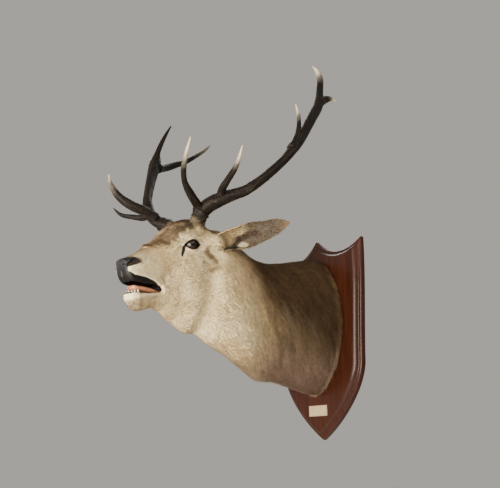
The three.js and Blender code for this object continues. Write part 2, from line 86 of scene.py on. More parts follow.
JAW = np.array([
    (-10, -60, -110, -168, 58, 2.0), (40, -70, -115, -166, 54, 2.0), (90, -84, -118, -162, 49, 2.2),
    (130, -94, -117, -155, 42, 2.4), (150, -98, -115, -146, 38, 2.6), (180, -96, -112, -141, 33, 2.8),
    (210, -88, -110, -142, 30, 2.8), (230, -81, -105, -133, 26, 2.6), (240, -83, -101, -118, 17, 2.3),
], float)

# the lips that hang below the muzzle, and the cheek that closes the mouth's corner
LIPS = np.array([
    (132, -55, -78, -98, 38, 3.2), (150, -48, -70, -91, 37, 3.2), (175, -38, -58, -85, 35, 3.2),
    (205, -28, -46, -77, 33, 3.2), (225, -18, -36, -67, 30, 3.2), (236, -12, -28, -56, 25, 3.0),
    (243, -8, -22, -42, 17, 2.6),
], float)
CHEEK = np.array([
    (10, -30, -95, -150, 60, 2.4), (60, -45, -98, -150, 57, 2.6), (100, -62, -100, -146, 50, 2.8),
    (128, -76, -100, -136, 44.5, 2.8), (141, -84, -98, -122, 41.5, 2.6),
], float)

TONGUE = np.array([
    (118, -104, -110, -116, 12, 2.2), (132, -100, -108, -114, 14, 2.2), (165, -85, -93, -103, 18, 2.2),
    (200, -74, -82, -91, 18, 2.2), (222, -69, -76, -84, 15, 2.2), (232, -71, -75, -80, 8, 2.0),
], float)

# left, forward, up, half width, depth of the cup, wall
EAR = np.array([
    (52, -60, -2, 20, 24, 16), (84, -91, -5, 28, 27, 14), (116, -120, -3, 34, 25, 9),
    (152, -155, -1.5, 39, 19, 8), (186, -194, 3.5, 31.5, 12, 7), (214, -226, 8, 23, 7, 6),
    (236, -252, 11, 7, 2, 4),
], float)
EAR_OPENING = np.array((0.68, 0.73, 0.02))

# sideways, forward, up, radius
LEFT_ANTLER = {
    "beam": [
        (62, -46, 78, 22), (70, -53, 92, 21.5), (88, -69, 108, 22), (118, -90, 119, 21),
        (152, -113, 125, 17.5), (182, -135, 129, 15.5), (216, -165, 146, 14), (244, -206, 171, 13.5),
        (264, -263, 203, 13.5), (273, -345, 252, 17), (272, -388, 277, 16), (270, -465, 328, 16.5),
        (264, -545, 380, 17), (251, -601, 432, 12.5), (242, -641, 483, 11), (237, -644, 511, 7.5),
        (225, -638, 535, 1.5),
    ],
    "brow": [
        (70, -56, 96, 13), (84, -5, 148, 12), (108, 39, 184, 8), (132, 58, 220, 7.5),
        (153, 59, 255, 5.5), (170, 49, 294, 1.5),
    ],
    "bez": [
        (118, -94, 120, 12), (141, -82, 145, 11.5), (177, -68, 165, 9.5), (222, -50, 188, 8),
        (256, -35, 213, 5), (275, -35, 243, 1.5),
    ],
    "trey": [
        (271, -298, 232, 11), (274, -343, 267, 10), (269, -380, 309, 7), (261, -404, 347, 5.5),
        (253, -415, 381, 1.5),
    ],
    "point": [
        (263, -557, 389, 13.5), (266, -599, 400, 13), (273, -630, 402, 7.5), (281, -652, 393, 2),
    ],
}
RIGHT_ANTLER = {
    "beam": [
        (62, -42, 78, 20.5), (74, -36, 87, 18), (101, -35, 110, 18.5), (125, -48, 138, 16.5),
        (150, -76, 168, 14.5), (174, -113, 194, 14.5), (211, -177, 238, 16), (239, -231, 277, 18.5),
        (263, -279, 309, 21), (270, -312, 352, 10), (266, -336, 383, 8), (260, -368, 418, 5.5),
        (255, -399, 448, 2),
    ],
    "brow": [
        (86, -27, 108, 12.5), (97, -2, 133, 15), (112, 33, 156, 14.5), (132, 58, 190, 12),
        (150, 62, 227, 8), (169, 45, 268, 1.5),
    ],
    "bez": [
        (108, -44, 124, 11), (150, -42, 121, 10), (190, -37, 132, 8), (241, -43, 149, 6),
        (276, -49, 178, 1.5),
    ],
    "top": [
        (252, -270, 296, 16), (269, -339, 299, 13.5), (270, -401, 308, 11), (269, -450, 316, 9),
        (260, -511, 335, 7), (245, -553, 353, 5), (230, -579, 372, 1.5),
    ],
    "point": [
        (254, -270, 296, 14), (274, -277, 323, 8), (282, -281, 337, 3),
    ],
}

# ---------- colours, linear ----------

BUFF = np.array((0.62, 0.46, 0.245))
CREAM = np.array((0.82, 0.71, 0.46))
FAWN = np.array((0.30, 0.195, 0.100))
BROWN = np.array((0.13, 0.070, 0.032))
MANE_BROWN = np.array((0.080, 0.044, 0.019))
NOSTRIL_BROWN = np.array((0.024, 0.014, 0.010))
DARK = np.array((0.040, 0.025, 0.016))
GREY = np.array((0.36, 0.275, 0.185))
ROSE = np.array((0.46, 0.32, 0.24))
NOSE_BLACK = np.array((0.0065, 0.0058, 0.0065))
# near black of the open mouth: dark lip skin with painted shade in the mouth's hollow
MOUTH_SKIN_AND_SHADE = np.array((0.0045, 0.0028, 0.0024))
FOREHEAD_BROWN = np.array((0.165, 0.122, 0.070))
PEDICLE_BROWN = np.array((0.050, 0.036, 0.022))


# ---------- settings a user would change ----------

class StagCoat(bpy.types.PropertyGroup):
    """How the coat grows."""

    neck_hair: bpy.props.FloatProperty(
        name="Neck hair", description="Length of the hair on the neck", default=0.034, unit="LENGTH")
    face_hair: bpy.props.FloatProperty(
        name="Face hair", description="Length of the hair on the cheeks", default=0.008, unit="LENGTH")
    neck_tufts: bpy.props.IntProperty(
        name="Neck tufts", description="Number of tufts on the neck", default=170000)
    head_tufts: bpy.props.IntProperty(
        name="Head tufts", description="Number of tufts on the head", default=76000)
    ear_tufts: bpy.props.IntProperty(
        name="Ear tufts", description="Number of tufts on each ear", default=16000)
    seed: bpy.props.IntProperty(name="Seed", description="Seed of the coat's random growth", default=7)


class StagFinish(bpy.types.PropertyGroup):
    """Colours of the hard pieces."""

    wood: bpy.props.FloatVectorProperty(
        name="Wood", description="Colour of the varnished shield", subtype="COLOR",
        default=(0.027, 0.0066, 0.0024))
    antler: bpy.props.FloatVectorProperty(
        name="Antler", description="Colour of the antlers' dark bark", subtype="COLOR",
        default=(0.0062, 0.0041, 0.0028))
    ivory: bpy.props.FloatVectorProperty(
        name="Ivory", description="Colour of the antlers' rubbed tips", subtype="COLOR",
        default=(0.66, 0.56, 0.42))
    label: bpy.props.FloatVectorProperty(
        name="Label", description="Colour of the blank label", subtype="COLOR",
        default=(0.37, 0.285, 0.15))


# ---------- numbers and shapes ----------

def head_axes():
    """Rows: the head's forward, left and up in the frame's axes."""
    ct, st = math.cos(HEAD_TURN), math.sin(HEAD_TURN)
    cn, sn = math.cos(HEAD_NOD), math.sin(HEAD_NOD)
    return np.array([(st * cn, -ct * cn, -sn), (ct, st, 0.0), (st * sn, -ct * sn, cn)])


AXES = head_axes()


def head_to_frame(points):
    """Millimetres (forward, left, up) of the head to metres of the frame."""
    return (points @ AXES + np.array(HEAD_PLACE)) * MM


def frame_turn(vector):
    """A direction of the frame's axes turned into the head's."""
    return AXES @ np.asarray(vector, float)


def step(low, high, x):
    """0 below low, 1 above high and a smooth S between them; low may be the larger."""
    t = np.clip((x - low) / (high - low), 0.0, 1.0)
    return t * t * (3.0 - 2.0 * t)


def mix(a, b, t):
    """a where t is 0 and b where it is 1, for colours with t one shorter."""
    t = np.asarray(t)[..., None]
    return a * (1.0 - t) + b * t


def unit(v):
    """v scaled to length 1 along its last axis."""
    return v / np.maximum(np.linalg.norm(v, axis=-1, keepdims=True), 1e-9)


def hermite(x, table):
    """Each further column of a table at x of its first: a cubic through the rows, whose slope at a row
    is the mean slope of its two neighbours."""
    xs, ys = table[:, 0], table[:, 1:]
    if xs[0] > xs[-1]:
        xs, ys = xs[::-1], ys[::-1]
    slope = np.gradient(ys, xs, axis=0)
    x = np.clip(x, xs[0], xs[-1])
    i = np.clip(np.searchsorted(xs, x) - 1, 0, len(xs) - 2)
    h = (xs[i + 1] - xs[i])[:, None]
    t = (x - xs[i])[:, None] / h
    a, b = ys[i], ys[i + 1]
    return (a * (1 + 2 * t) * (1 - t) ** 2 + b * t * t * (3 - 2 * t)
            + h * slope[i] * t * (1 - t) ** 2 - h * slope[i + 1] * t * t * (1 - t))


def spline(points, count):
    """Points on a centripetal Catmull-Rom curve through the rows, evenly spaced along its length.
    Further columns, such as a radius, follow their points."""
    points = np.asarray(points, float)
    gaps = np.linalg.norm(np.diff(points[:, :3], axis=0), axis=1) ** 0.5
    knots = np.concatenate([[0.0], np.cumsum(gaps)])
    fine = np.linspace(0.0, knots[-1], 60 * len(points))
    curve = hermite(fine, np.column_stack([knots, points]))
    along = np.concatenate([[0.0], np.cumsum(np.linalg.norm(np.diff(curve[:, :3], axis=0), axis=1))])
    even = np.linspace(0.0, along[-1], count)
    return np.column_stack([np.interp(even, along, column) for column in curve.T]), even


def lattice_noise(points, size, seed=0):
    """Smooth noise from -1 to 1: a value for each corner of cubes of a size, scrambled from the corner's
    whole numbers and the seed by large factors, and eased between the corners."""
    q = points / size
    cell = np.floor(q).astype(np.int64)
    t = q - cell
    t = t * t * (3.0 - 2.0 * t)
    total = np.zeros(len(points))
    for corner in range(8):
        offset = np.array([corner & 1, corner >> 1 & 1, corner >> 2 & 1])
        c = cell + offset
        h = (c[:, 0] * 374761393 + c[:, 1] * 668265263 + c[:, 2] * 2147483647 + seed * 144665) & 0xFFFFFFFF
        h = ((h ^ (h >> 13)) * 1274126177) & 0xFFFFFFFF
        value = ((h ^ (h >> 16)) & 0xFFFF) / 32767.5 - 1.0
        total += value * np.prod(np.where(offset == 1, t, 1.0 - t), axis=1)
    return total


def join_soft(a, b, width):
    """The nearer of two signed distances, with a fillet of that width where they meet."""
    h = np.clip(0.5 + 0.5 * (b - a) / width, 0.0, 1.0)
    return b + (a - b) * h - width * h * (1.0 - h)


def cut_soft(a, b, width):
    """Body a with body b taken away, with a rounded edge of that width."""
    return -join_soft(-a, b, width)


# ---------- the flesh as signed distances ----------

def section_distance(across, rise, half, reach, power):
    """Distance from a superellipse, measured along the ray from its middle: the ray's length less the
    length at which |across / half|^power + |rise / reach|^power is 1."""
    size = (np.abs(across / half) ** power + np.abs(rise / reach) ** power) ** (1.0 / power)
    ray = np.sqrt(across * across + rise * rise)
    return ray - ray / np.maximum(size, 1e-3)


def loft_distance(f, l, u, table, inset=0.0, under=1.905):
    """A row of superellipse sections across the forward axis, closed by flat ends. Above its widest
    level each has its own squareness, and below it they share one."""
    top, level, bottom, half, square = np.moveaxis(
        hermite(np.ravel(f), table).reshape(np.shape(f) + (5,)), -1, 0)
    rise = u - level
    reach = np.where(rise > 0, top - level, level - bottom)
    power = np.where(rise > 0, square, under)
    d = section_distance(l, rise, half, reach, power) + inset
    past = np.maximum(f - table[-1, 0], table[0, 0] - f) + inset
    return np.where(past > 0, np.hypot(np.maximum(d, 0.0), past), np.maximum(d, past))


def neck_distance(f, l, u, inset):
    """Upright ellipses across the frame's Y axis, narrowed below near the shield and closed by a
    rounded end below the throat."""
    x = HEAD_PLACE[0] + f * AXES[0, 0] + l * AXES[1, 0] + u * AXES[2, 0]
    y = HEAD_PLACE[1] + f * AXES[0, 1] + l * AXES[1, 1] + u * AXES[2, 1]
    z = HEAD_PLACE[2] + f * AXES[0, 2] + l * AXES[1, 2] + u * AXES[2, 2]
    fine = np.linspace(NECK[-1, 0], NECK[0, 0], 300)
    top, bottom, half, shift = (np.interp(y, fine, column) for column in hermite(fine, NECK).T)
    rise = z - (top + bottom) / 2
    power = np.where(rise < 0, 2.0 - 0.3 * np.clip((y + 140.0) / 108.0, 0.0, 1.0), 2.0)
    d = section_distance(x - shift, rise, half, (top - bottom) / 2, power) + inset
    past = NECK[-1, 0] - y + inset
    d = np.where(past > 0, np.hypot(np.maximum(d, 0.0), past), d)
    return np.maximum(d, y - SHIELD_FACE_Y)


def ball_distance(f, l, u, centre, radii):
    """Distance from an ellipsoid, near enough close to its surface."""
    q = np.sqrt(((f - centre[0]) / radii[0]) ** 2 + ((l - centre[1]) / radii[1]) ** 2
                + ((u - centre[2]) / radii[2]) ** 2)
    return (q - 1.0) * min(radii)


def bar_distance(f, l, u, ends):
    """Distance from a round bar through two ends (forward, left, up, radius) of changing thickness."""
    a, b = np.array(ends[0], float), np.array(ends[1], float)
    d = b - a
    t = ((f - a[0]) * d[0] + (l - a[1]) * d[1] + (u - a[2]) * d[2]) / (d[:3] @ d[:3])
    t = np.clip(t, 0.0, 1.0)
    gap = np.sqrt((f - a[0] - t * d[0]) ** 2 + (l - a[1] - t * d[1]) ** 2 + (u - a[2] - t * d[2]) ** 2)
    return gap - (a[3] + t * d[3])


SHIELD_FACE_Y = -31.5
NECK_COAT_DEPTH = 5.5
FACE_COAT_DEPTH = 2.5

# the eye's opening: a frame of its own looking out of the side of the head
GAZE = unit(np.array((0.38, 0.92, -0.06)))
SLIT = unit(np.array((0.915, -0.374, 0.165)))
LID_UP = np.cross(GAZE, SLIT)
LID_UP = unit(LID_UP * np.sign(LID_UP[2]))
SLIT = np.cross(LID_UP, GAZE) * np.sign(np.cross(LID_UP, GAZE)[0])
# half length and half height of the opening, and how far the black lids reach beyond it
EYE_OPENING = (22.5, 12.0)
LID_RIM = 4.0

NOSTRIL = [(235.0, 23.0, -13.0, 4.5), (224.0, 33.0, -8.0, 8.5), (207.0, 39.5, -11.0, 4.0)]
WING = [(230.0, 18.0, -13.0, 8.0), (220.0, 25.0, -8.0, 12.0), (204.0, 30.0, -11.0, 7.5)]
TEAR_PIT = [
    (40.0, 60.8, 5.0, 3.2), (45.5, 60.0, -0.8, 4.2), (49.6, 60.0, -7.6, 4.0), (54.0, 59.4, -14.1, 3.6),
    (57.0, 58.9, -19.5, 2.6),
]

# rounded masses on and in the head: middle, and reach forward, sideways and up
CHEEK_MUSCLE = ((5.0, 40.0, -95.0), (62.0, 32.0, 60.0))
BROW_RIDGE = ((6.0, 54.0, 22.0), (38.0, 17.0, 20.0))
EYE_HOLLOW = ((48.0, 72.0, 10.0), (26.0, 11.0, 12.0))
BRIDGE_CURL = ((128.0, 4.0, 19.0), (14.0, 12.0, 12.5))
# bars that carry the ears and the antlers: forward, left, up and radius of both ends
EAR_ROOT = [(-52.0, 48.0, 4.0, 24.0), (-84.0, 76.0, -4.0, 24.0)]
PEDICLE = [(-43.0, 41.0, 44.0, 27.0), (-44.0, 60.0, 76.0, 20.0)]


def eye_view(f, l, u):
    """Along the slit, up across it and out of the eye, from the ball's middle."""
    p = [f - EYE_PLACE[0], l - EYE_PLACE[1], u - EYE_PLACE[2]]
    return tuple(sum(p[i] * axis[i] for i in range(3)) for axis in (SLIT, LID_UP, GAZE))


def opening_distance(along, across):
    """Signed distance-like value of the almond between the lids: its half height falls to nothing at
    both corners, more slowly towards the rear, and the upper edge is the fuller one."""
    half_length, half_height = EYE_OPENING
    power = np.where(along > 0, 1.7, 2.5)
    t = np.clip(np.abs(along) / (half_length + 4.0 * (along > 0)), 0.0, 1.4)
    edge = half_height * (1.0 - t ** power)
    fuller = np.where(across > 0, 1.06, 0.92)
    return np.abs(across) - edge * fuller


def path_distance(f, l, u, stations):
    """Distance from bars laid end to end through stations, as for a nostril's comma."""
    return np.minimum.reduce([bar_distance(f, l, u, pair) for pair in zip(stations, stations[1:])])


# the hollow inside the lips: palate above, and the jaw's floor below
PALATE = np.array([
    (128, -84, -100, -112, 24, 2.2), (145, -70, -95, -115, 30, 2.2), (175, -52, -85, -110, 29, 2.2),
    (205, -42, -78, -100, 27, 2.2), (225, -38, -72, -95, 24, 2.2), (233, -44, -70, -92, 18, 2.2),
], float)
FLOOR = np.array([
    (128, -88, -100, -114, 25, 2.2), (145, -84, -98, -119, 31, 2.2), (175, -76, -92, -113, 28, 2.2),
    (205, -70, -86, -106, 25, 2.2), (228, -66, -82, -100, 21, 2.2),
], float)


def skin_distance(f, l, u):
    """Signed distance of the skin, the coat's depth below the tips of the hair.

    Neck, skull, lips, jaw and cheek are rows of sections, joined with fillets. Cheek muscles, brow
    ridges, lids, the bridge's curl, ear roots, pedicles and nostril wings are added; the hollows before
    the eyes, the eye openings, tear pits, nostrils and mouth are taken away. The last number of each
    join or cut is the width of its fillet."""
    side = np.abs(l)
    neck = neck_distance(f, l, u, NECK_COAT_DEPTH * step(40.0, -150.0, f) + FACE_COAT_DEPTH)
    skull = loft_distance(f, l, u, SKULL, FACE_COAT_DEPTH)
    jaw = loft_distance(f, l, u, JAW, 1.5, 2.1)
    skull = join_soft(skull, loft_distance(f, l, u, LIPS, 0.0, 3.2), 6.0)

    # cheek and brow, the hollow in front of the eye, the ball and its lids, and the fold above them
    skull = join_soft(skull, ball_distance(f, side, u, *CHEEK_MUSCLE), 24.0)
    skull = join_soft(skull, ball_distance(f, side, u, *BROW_RIDGE), 9.0)
    along, across, out = eye_view(f, side, u)
    ball = np.sqrt(along ** 2 + across ** 2 + out ** 2)
    skull = cut_soft(skull, ball_distance(f, side, u, *EYE_HOLLOW), 12.0)
    skull = join_soft(skull, ball - EYE_RADIUS - LID_THICKNESS, 7.0)
    lids = np.hypot(np.maximum(opening_distance(along, across), 0.0), out - 16.0) - 4.5
    skull = join_soft(skull, lids, 5.0)
    fold = np.abs(ball - EYE_RADIUS - 6.5) + np.where((across > 3.0) & (out > 2.0), 0.0, 9.0)
    skull = skull + 1.5 * np.exp(-(fold / 1.6) ** 2)

    # the curl on the bridge, ear roots, pedicles, nostril wings, and the groove of the upper lip
    skull = join_soft(skull, ball_distance(f, side, u, *BRIDGE_CURL), 5.0)
    skull = join_soft(skull, bar_distance(f, side, u, EAR_ROOT), 22.0)
    skull = join_soft(skull, bar_distance(f, side, u, PEDICLE), 14.0)
    skull = join_soft(skull, path_distance(f, side, u, WING), 6.0)
    groove = np.hypot(side, np.maximum(u + 26.0, 0.0)) + np.where(f > 222.0, 0.0, 6.0)
    skull = skull + 2.2 * np.exp(-(groove / 2.6) ** 2)

    rear = join_soft(jaw, loft_distance(f, l, u, CHEEK, 1.0, 2.6), 6.0)
    head = join_soft(skull, rear, 5.0 + 9.0 * step(130.0, 90.0, f))
    body = join_soft(head, neck, 26.0 + 22.0 * step(-110.0, -150.0, u))

    # the mouth, then the nostrils
    body = cut_soft(body, loft_distance(f, l, u, PALATE), 3.0)
    body = cut_soft(body, loft_distance(f, l, u, FLOOR), 3.0)
    body = cut_soft(body, path_distance(f, side, u, NOSTRIL), 2.5)
    # the almond between the lids, and the tear pit running down from its front corner
    almond = np.maximum(opening_distance(along, across), 8.0 - out)
    body = cut_soft(body, almond, 1.2)
    return cut_soft(body, path_distance(f, side, u, TEAR_PIT), 1.5)


def skin_normals(points, reach=0.6):
    """Outward directions of the skin, not scaled to length 1: differences of its distance."""
    grad = np.empty_like(points)
    for axis in range(3):
        shift = np.zeros(3)
        shift[axis] = reach
        ahead, behind = (points + shift).T, (points - shift).T
        grad[:, axis] = skin_distance(*ahead) - skin_distance(*behind)
    return grad / (2.0 * reach)


def graded_axis(marks):
    """Grid lines whose spacing changes steadily between marks of (place, spacing)."""
    places, spacings = np.array(marks, float).T
    lines = [places[0]]
    while lines[-1] < places[-1]:
        lines.append(lines[-1] + np.interp(lines[-1], places, spacings))
    return np.array(lines)


def zero_surface(values, axes):
    """Surface nets: one point in each cell that the surface crosses, at the mean of the crossings on
    its edges, and one four-sided face round each grid edge that it crosses."""
    inside = values < 0
    count = sum(inside[i:inside.shape[0] - 1 + i, j:inside.shape[1] - 1 + j,
                       k:inside.shape[2] - 1 + k].astype(np.int8)
                for i in (0, 1) for j in (0, 1) for k in (0, 1))
    active = (count > 0) & (count < 8)
    cells = np.argwhere(active)
    number = np.full(active.shape, -1, np.int64)
    number[active] = np.arange(len(cells))

    total = np.zeros((len(cells), 3))
    crossings = np.zeros(len(cells))
    for axis in range(3):
        others = [a for a in range(3) if a != axis]
        for i in (0, 1):
            for j in (0, 1):
                start = cells.copy()
                start[:, others[0]] += i
                start[:, others[1]] += j
                end = start.copy()
                end[:, axis] += 1
                va, vb = values[tuple(start.T)], values[tuple(end.T)]
                hit = (va < 0) != (vb < 0)
                t = np.where(hit, va / np.where(hit, va - vb, 1.0), 0.0)
                pa = np.column_stack([axes[a][start[:, a]] for a in range(3)])
                pb = np.column_stack([axes[a][end[:, a]] for a in range(3)])
                total += np.where(hit[:, None], pa + (pb - pa) * t[:, None], 0.0)
                crossings += hit
    points = total / crossings[:, None]

    quads = []
    for axis in range(3):
        b, c = (axis + 1) % 3, (axis + 2) % 3
        low = [slice(None)] * 3
        high = [slice(None)] * 3
        low[axis], high[axis] = slice(None, -1), slice(1, None)
        edges = np.argwhere(inside[tuple(low)] != inside[tuple(high)])
        edges = edges[(edges[:, b] > 0) & (edges[:, c] > 0)
                      & (edges[:, b] < values.shape[b] - 1) & (edges[:, c] < values.shape[c] - 1)]
        ring = []
        for i, j in ((0, 0), (1, 0), (1, 1), (0, 1)):
            cell = edges.copy()
            cell[:, b] -= 1 - i
            cell[:, c] -= 1 - j
            ring.append(number[tuple(cell.T)])
        ring = np.column_stack(ring)
        outwards = inside[tuple(edges.T)]
        quads.append(np.where(outwards[:, None], ring, ring[:, ::-1]))
    return points, np.concatenate(quads)


# millimetres that a point may be moved at a time onto the surface
LONGEST_STEP = 1.2


def skin_shape():
    """The skin's points in the head's millimetres, its faces and its outward directions."""
    f = graded_axis([(-570, 12), (-260, 10), (-110, 5), (-50, 2.6), (-30, 1.8), (70, 1.8), (90, 2.8),
                     (190, 2.7), (200, 1.8), (252, 1.8)])
    half = graded_axis([(0, 2.7), (44, 2.5), (54, 1.8), (84, 1.8), (100, 4.5), (190, 8), (312, 10)])
    l = np.concatenate([-half[half < 120][:0:-1], half]) + 0.013
    u = graded_axis([(-600, 12), (-230, 9), (-175, 4), (-130, 2.5), (-30, 2.3), (-25, 1.8), (34, 1.8),
                     (60, 3.2), (125, 4)])
    values = skin_distance(f[:, None, None], l[None, :, None], u[None, None, :])
    points, quads = zero_surface(values, (f, l, u))
    # three short steps along the steepest way put each point on the surface itself
    for _ in range(3):
        grad = skin_normals(points)
        size = np.maximum((grad ** 2).sum(1), 0.05)
        move = grad * (skin_distance(*points.T) / size)[:, None]
        reach = np.linalg.norm(move, axis=1, keepdims=True)
        points = points - move * np.minimum(1.0, LONGEST_STEP / np.maximum(reach, 1e-9))
    return points, quads, unit(skin_normals(points))


# ---------- ears ----------

def ear_frame(s):
    """Middle line and sizes of the ear at a share s of its length."""
    knots = np.linspace(0.0, 1.0, len(EAR))
    left, forward, up, half, cup, wall = hermite(np.ravel(s), np.column_stack([knots, EAR])).T
    return np.column_stack([forward, left, up]), half, cup, wall


def ear_point(s, t, inner):
    """The ear's leaf: across it the height follows a sine and the cup a cosine, and the inner wall lies
    the wall's thickness in front of the outer one. Low ribs run along the inside, and the edge waves."""
    centre, half, cup, wall = ear_frame(s)
    bow = np.maximum(np.cos(t * math.pi / 2), 0.0) ** 0.8
    wave = 1.0 + 0.02 * np.sin(s * 23.0 + 2.0 * t)
    reach = (half - 3.0) * np.sin(t * math.pi / 2) * wave
    rib = np.where(inner, 1.3 * np.cos(t * 9.0) * step(1.0, 0.5, np.abs(t)) * step(1.0, 0.7, s), 0.0)
    thick = np.where(inner, wall - 1.2, 1.2) * (0.35 + 0.65 * bow)
    depth = -cup * bow + thick - 0.17 * wall + rib
    up = np.array((0.0, 0.0, 1.0))
    return centre + up * reach[:, None] + EAR_OPENING * depth[:, None]


def ear_shape(side, along=84, around=26):
    """One closed ear: rings that run up the outer wall and back down the inner one."""
    s = np.repeat(np.linspace(0.0, 1.0, along), 2 * around)
    t = np.tile(np.concatenate([np.linspace(-1, 1, around), np.linspace(1, -1, around)]), along)
    inner = np.tile(np.repeat([False, True], around), along)
    points = ear_point(s, t * np.where(inner, 0.985, 1.0), inner)
    faces = shell(along, 2 * around)
    if side < 0:
        points = points * (1, -1, 1)
        faces = turned(faces)
    return points, *faces, s, t, inner


def ring_angles(sides):
    """One row of angles, evenly round a ring."""
    return np.linspace(0.0, 2 * math.pi, sides, endpoint=False)[None]


def ring_faces(rings, sides):
    """Four-sided faces between rings of points, closed round."""
    r, i = np.meshgrid(np.arange(rings - 1), np.arange(sides), indexing="ij")
    a = r * sides + i
    b = r * sides + (i + 1) % sides
    return np.stack([a, b, b + sides, a + sides], -1).reshape(-1, 4)


def end_faces(rings, sides):
    """The two faces that close the first and last ring."""
    return [list(range(sides))[::-1], [(rings - 1) * sides + i for i in range(sides)]]


def shell(rings, sides):
    """All faces of a closed row of rings: the four-sided ones and the two ends."""
    return [ring_faces(rings, sides), end_faces(rings, sides)]


def turned(faces):
    """The faces of a shell facing the other way."""
    quads, ends = faces
    return [quads[:, ::-1], [face[::-1] for face in ends]]


def sweep(path, sides, shape):
    """Rings carried along a path of (x, y, z, radius) without twisting: each ring's axes are the last
    one's, turned as little as the path turns. The shape gives each ring's radius at each of its sides.
    Points and faces."""
    centre = path[:, :3]
    tangent = unit(np.gradient(centre, axis=0))
    normals = [unit(np.cross(tangent[0], (0.31, 0.17, 0.94)))]
    for direction in tangent[1:]:
        last = normals[-1]
        normals.append(unit(last - direction * (last @ direction)))
    normals = np.array(normals)
    binormals = np.cross(tangent, normals)
    angle = ring_angles(sides)[..., None]
    points = (centre[:, None] + shape[..., None] * (normals[:, None] * np.cos(angle)
              + binormals[:, None] * np.sin(angle)))
    return points.reshape(-1, 3), shell(len(path), sides)


# ---------- meshes ----------

def add_piece(name, points, faces, replaced=(), colours=None, values=None, uvs=None):
    """Makes a mesh object from frame metres, hangs it on the root body and hides the frame's parts that it
    replaces. The faces are one array, or groups of them: arrays of equal faces, and lists of faces of any
    size."""
    mesh = bpy.data.meshes.new(name)
    if isinstance(faces, np.ndarray):
        faces = [faces]
    corners = np.concatenate([np.concatenate([np.asarray(face).ravel() for face in group])
                              if isinstance(group, list) else group.ravel() for group in faces])
    totals = np.concatenate([np.array([len(face) for face in group]) if isinstance(group, list)
                             else np.full(len(group), group.shape[1]) for group in faces])
    mesh.vertices.add(len(points))
    mesh.vertices.foreach_set("co", np.ascontiguousarray(points, np.float32).ravel())
    mesh.loops.add(len(corners))
    mesh.loops.foreach_set("vertex_index", corners.astype(np.int32))
    mesh.polygons.add(len(totals))
    starts = np.concatenate([[0], np.cumsum(totals)[:-1]])
    mesh.polygons.foreach_set("loop_start", starts.astype(np.int32))
    mesh.polygons.foreach_set("loop_total", totals.astype(np.int32))
    mesh.polygons.foreach_set("use_smooth", np.full(len(totals), True))
    mesh.update(calc_edges=True)
    if colours is not None:
        layer = mesh.attributes.new("coat", "FLOAT_COLOR", "POINT")
        rgba = np.column_stack([colours, np.ones(len(colours))]).astype(np.float32)
        layer.data.foreach_set("color", rgba.ravel())
    for key, data in (values or {}).items():
        layer = mesh.attributes.new(key, "FLOAT", "POINT")
        layer.data.foreach_set("value", data.astype(np.float32))
    if uvs is not None:
        layer = mesh.uv_layers.new(name="OFBake")
        layer.data.foreach_set("uv", uvs[corners].astype(np.float32).ravel())
    mesh.validate()
    piece = bpy.data.objects.new(name, mesh)
    bpy.context.scene.collection.objects.link(piece)
    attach(piece, "root")
    if replaced:
        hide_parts(*replaced)
    return piece


# ---------- materials ----------

class Socket:
    """An output of a shader node that can be used in sums, as in 1 - mask * 0.5."""

    def __init__(self, sheet, output):
        self.sheet, self.output = sheet, output

    def _maths(self, operation, a, b):
        """A node that works out one sum of two sockets or numbers."""
        return self.sheet.node("ShaderNodeMath", {"operation": operation}, {0: a, 1: b})

    def __add__(self, other):
        return self._maths("ADD", self, other)

    def __sub__(self, other):
        return self._maths("SUBTRACT", self, other)

    def __mul__(self, other):
        return self._maths("MULTIPLY", self, other)

    def __truediv__(self, other):
        return self._maths("DIVIDE", self, other)

    def __rsub__(self, other):
        return self._maths("SUBTRACT", other, self)

    def __pow__(self, other):
        return self._maths("POWER", self, other)

    __radd__ = __add__
    __rmul__ = __mul__


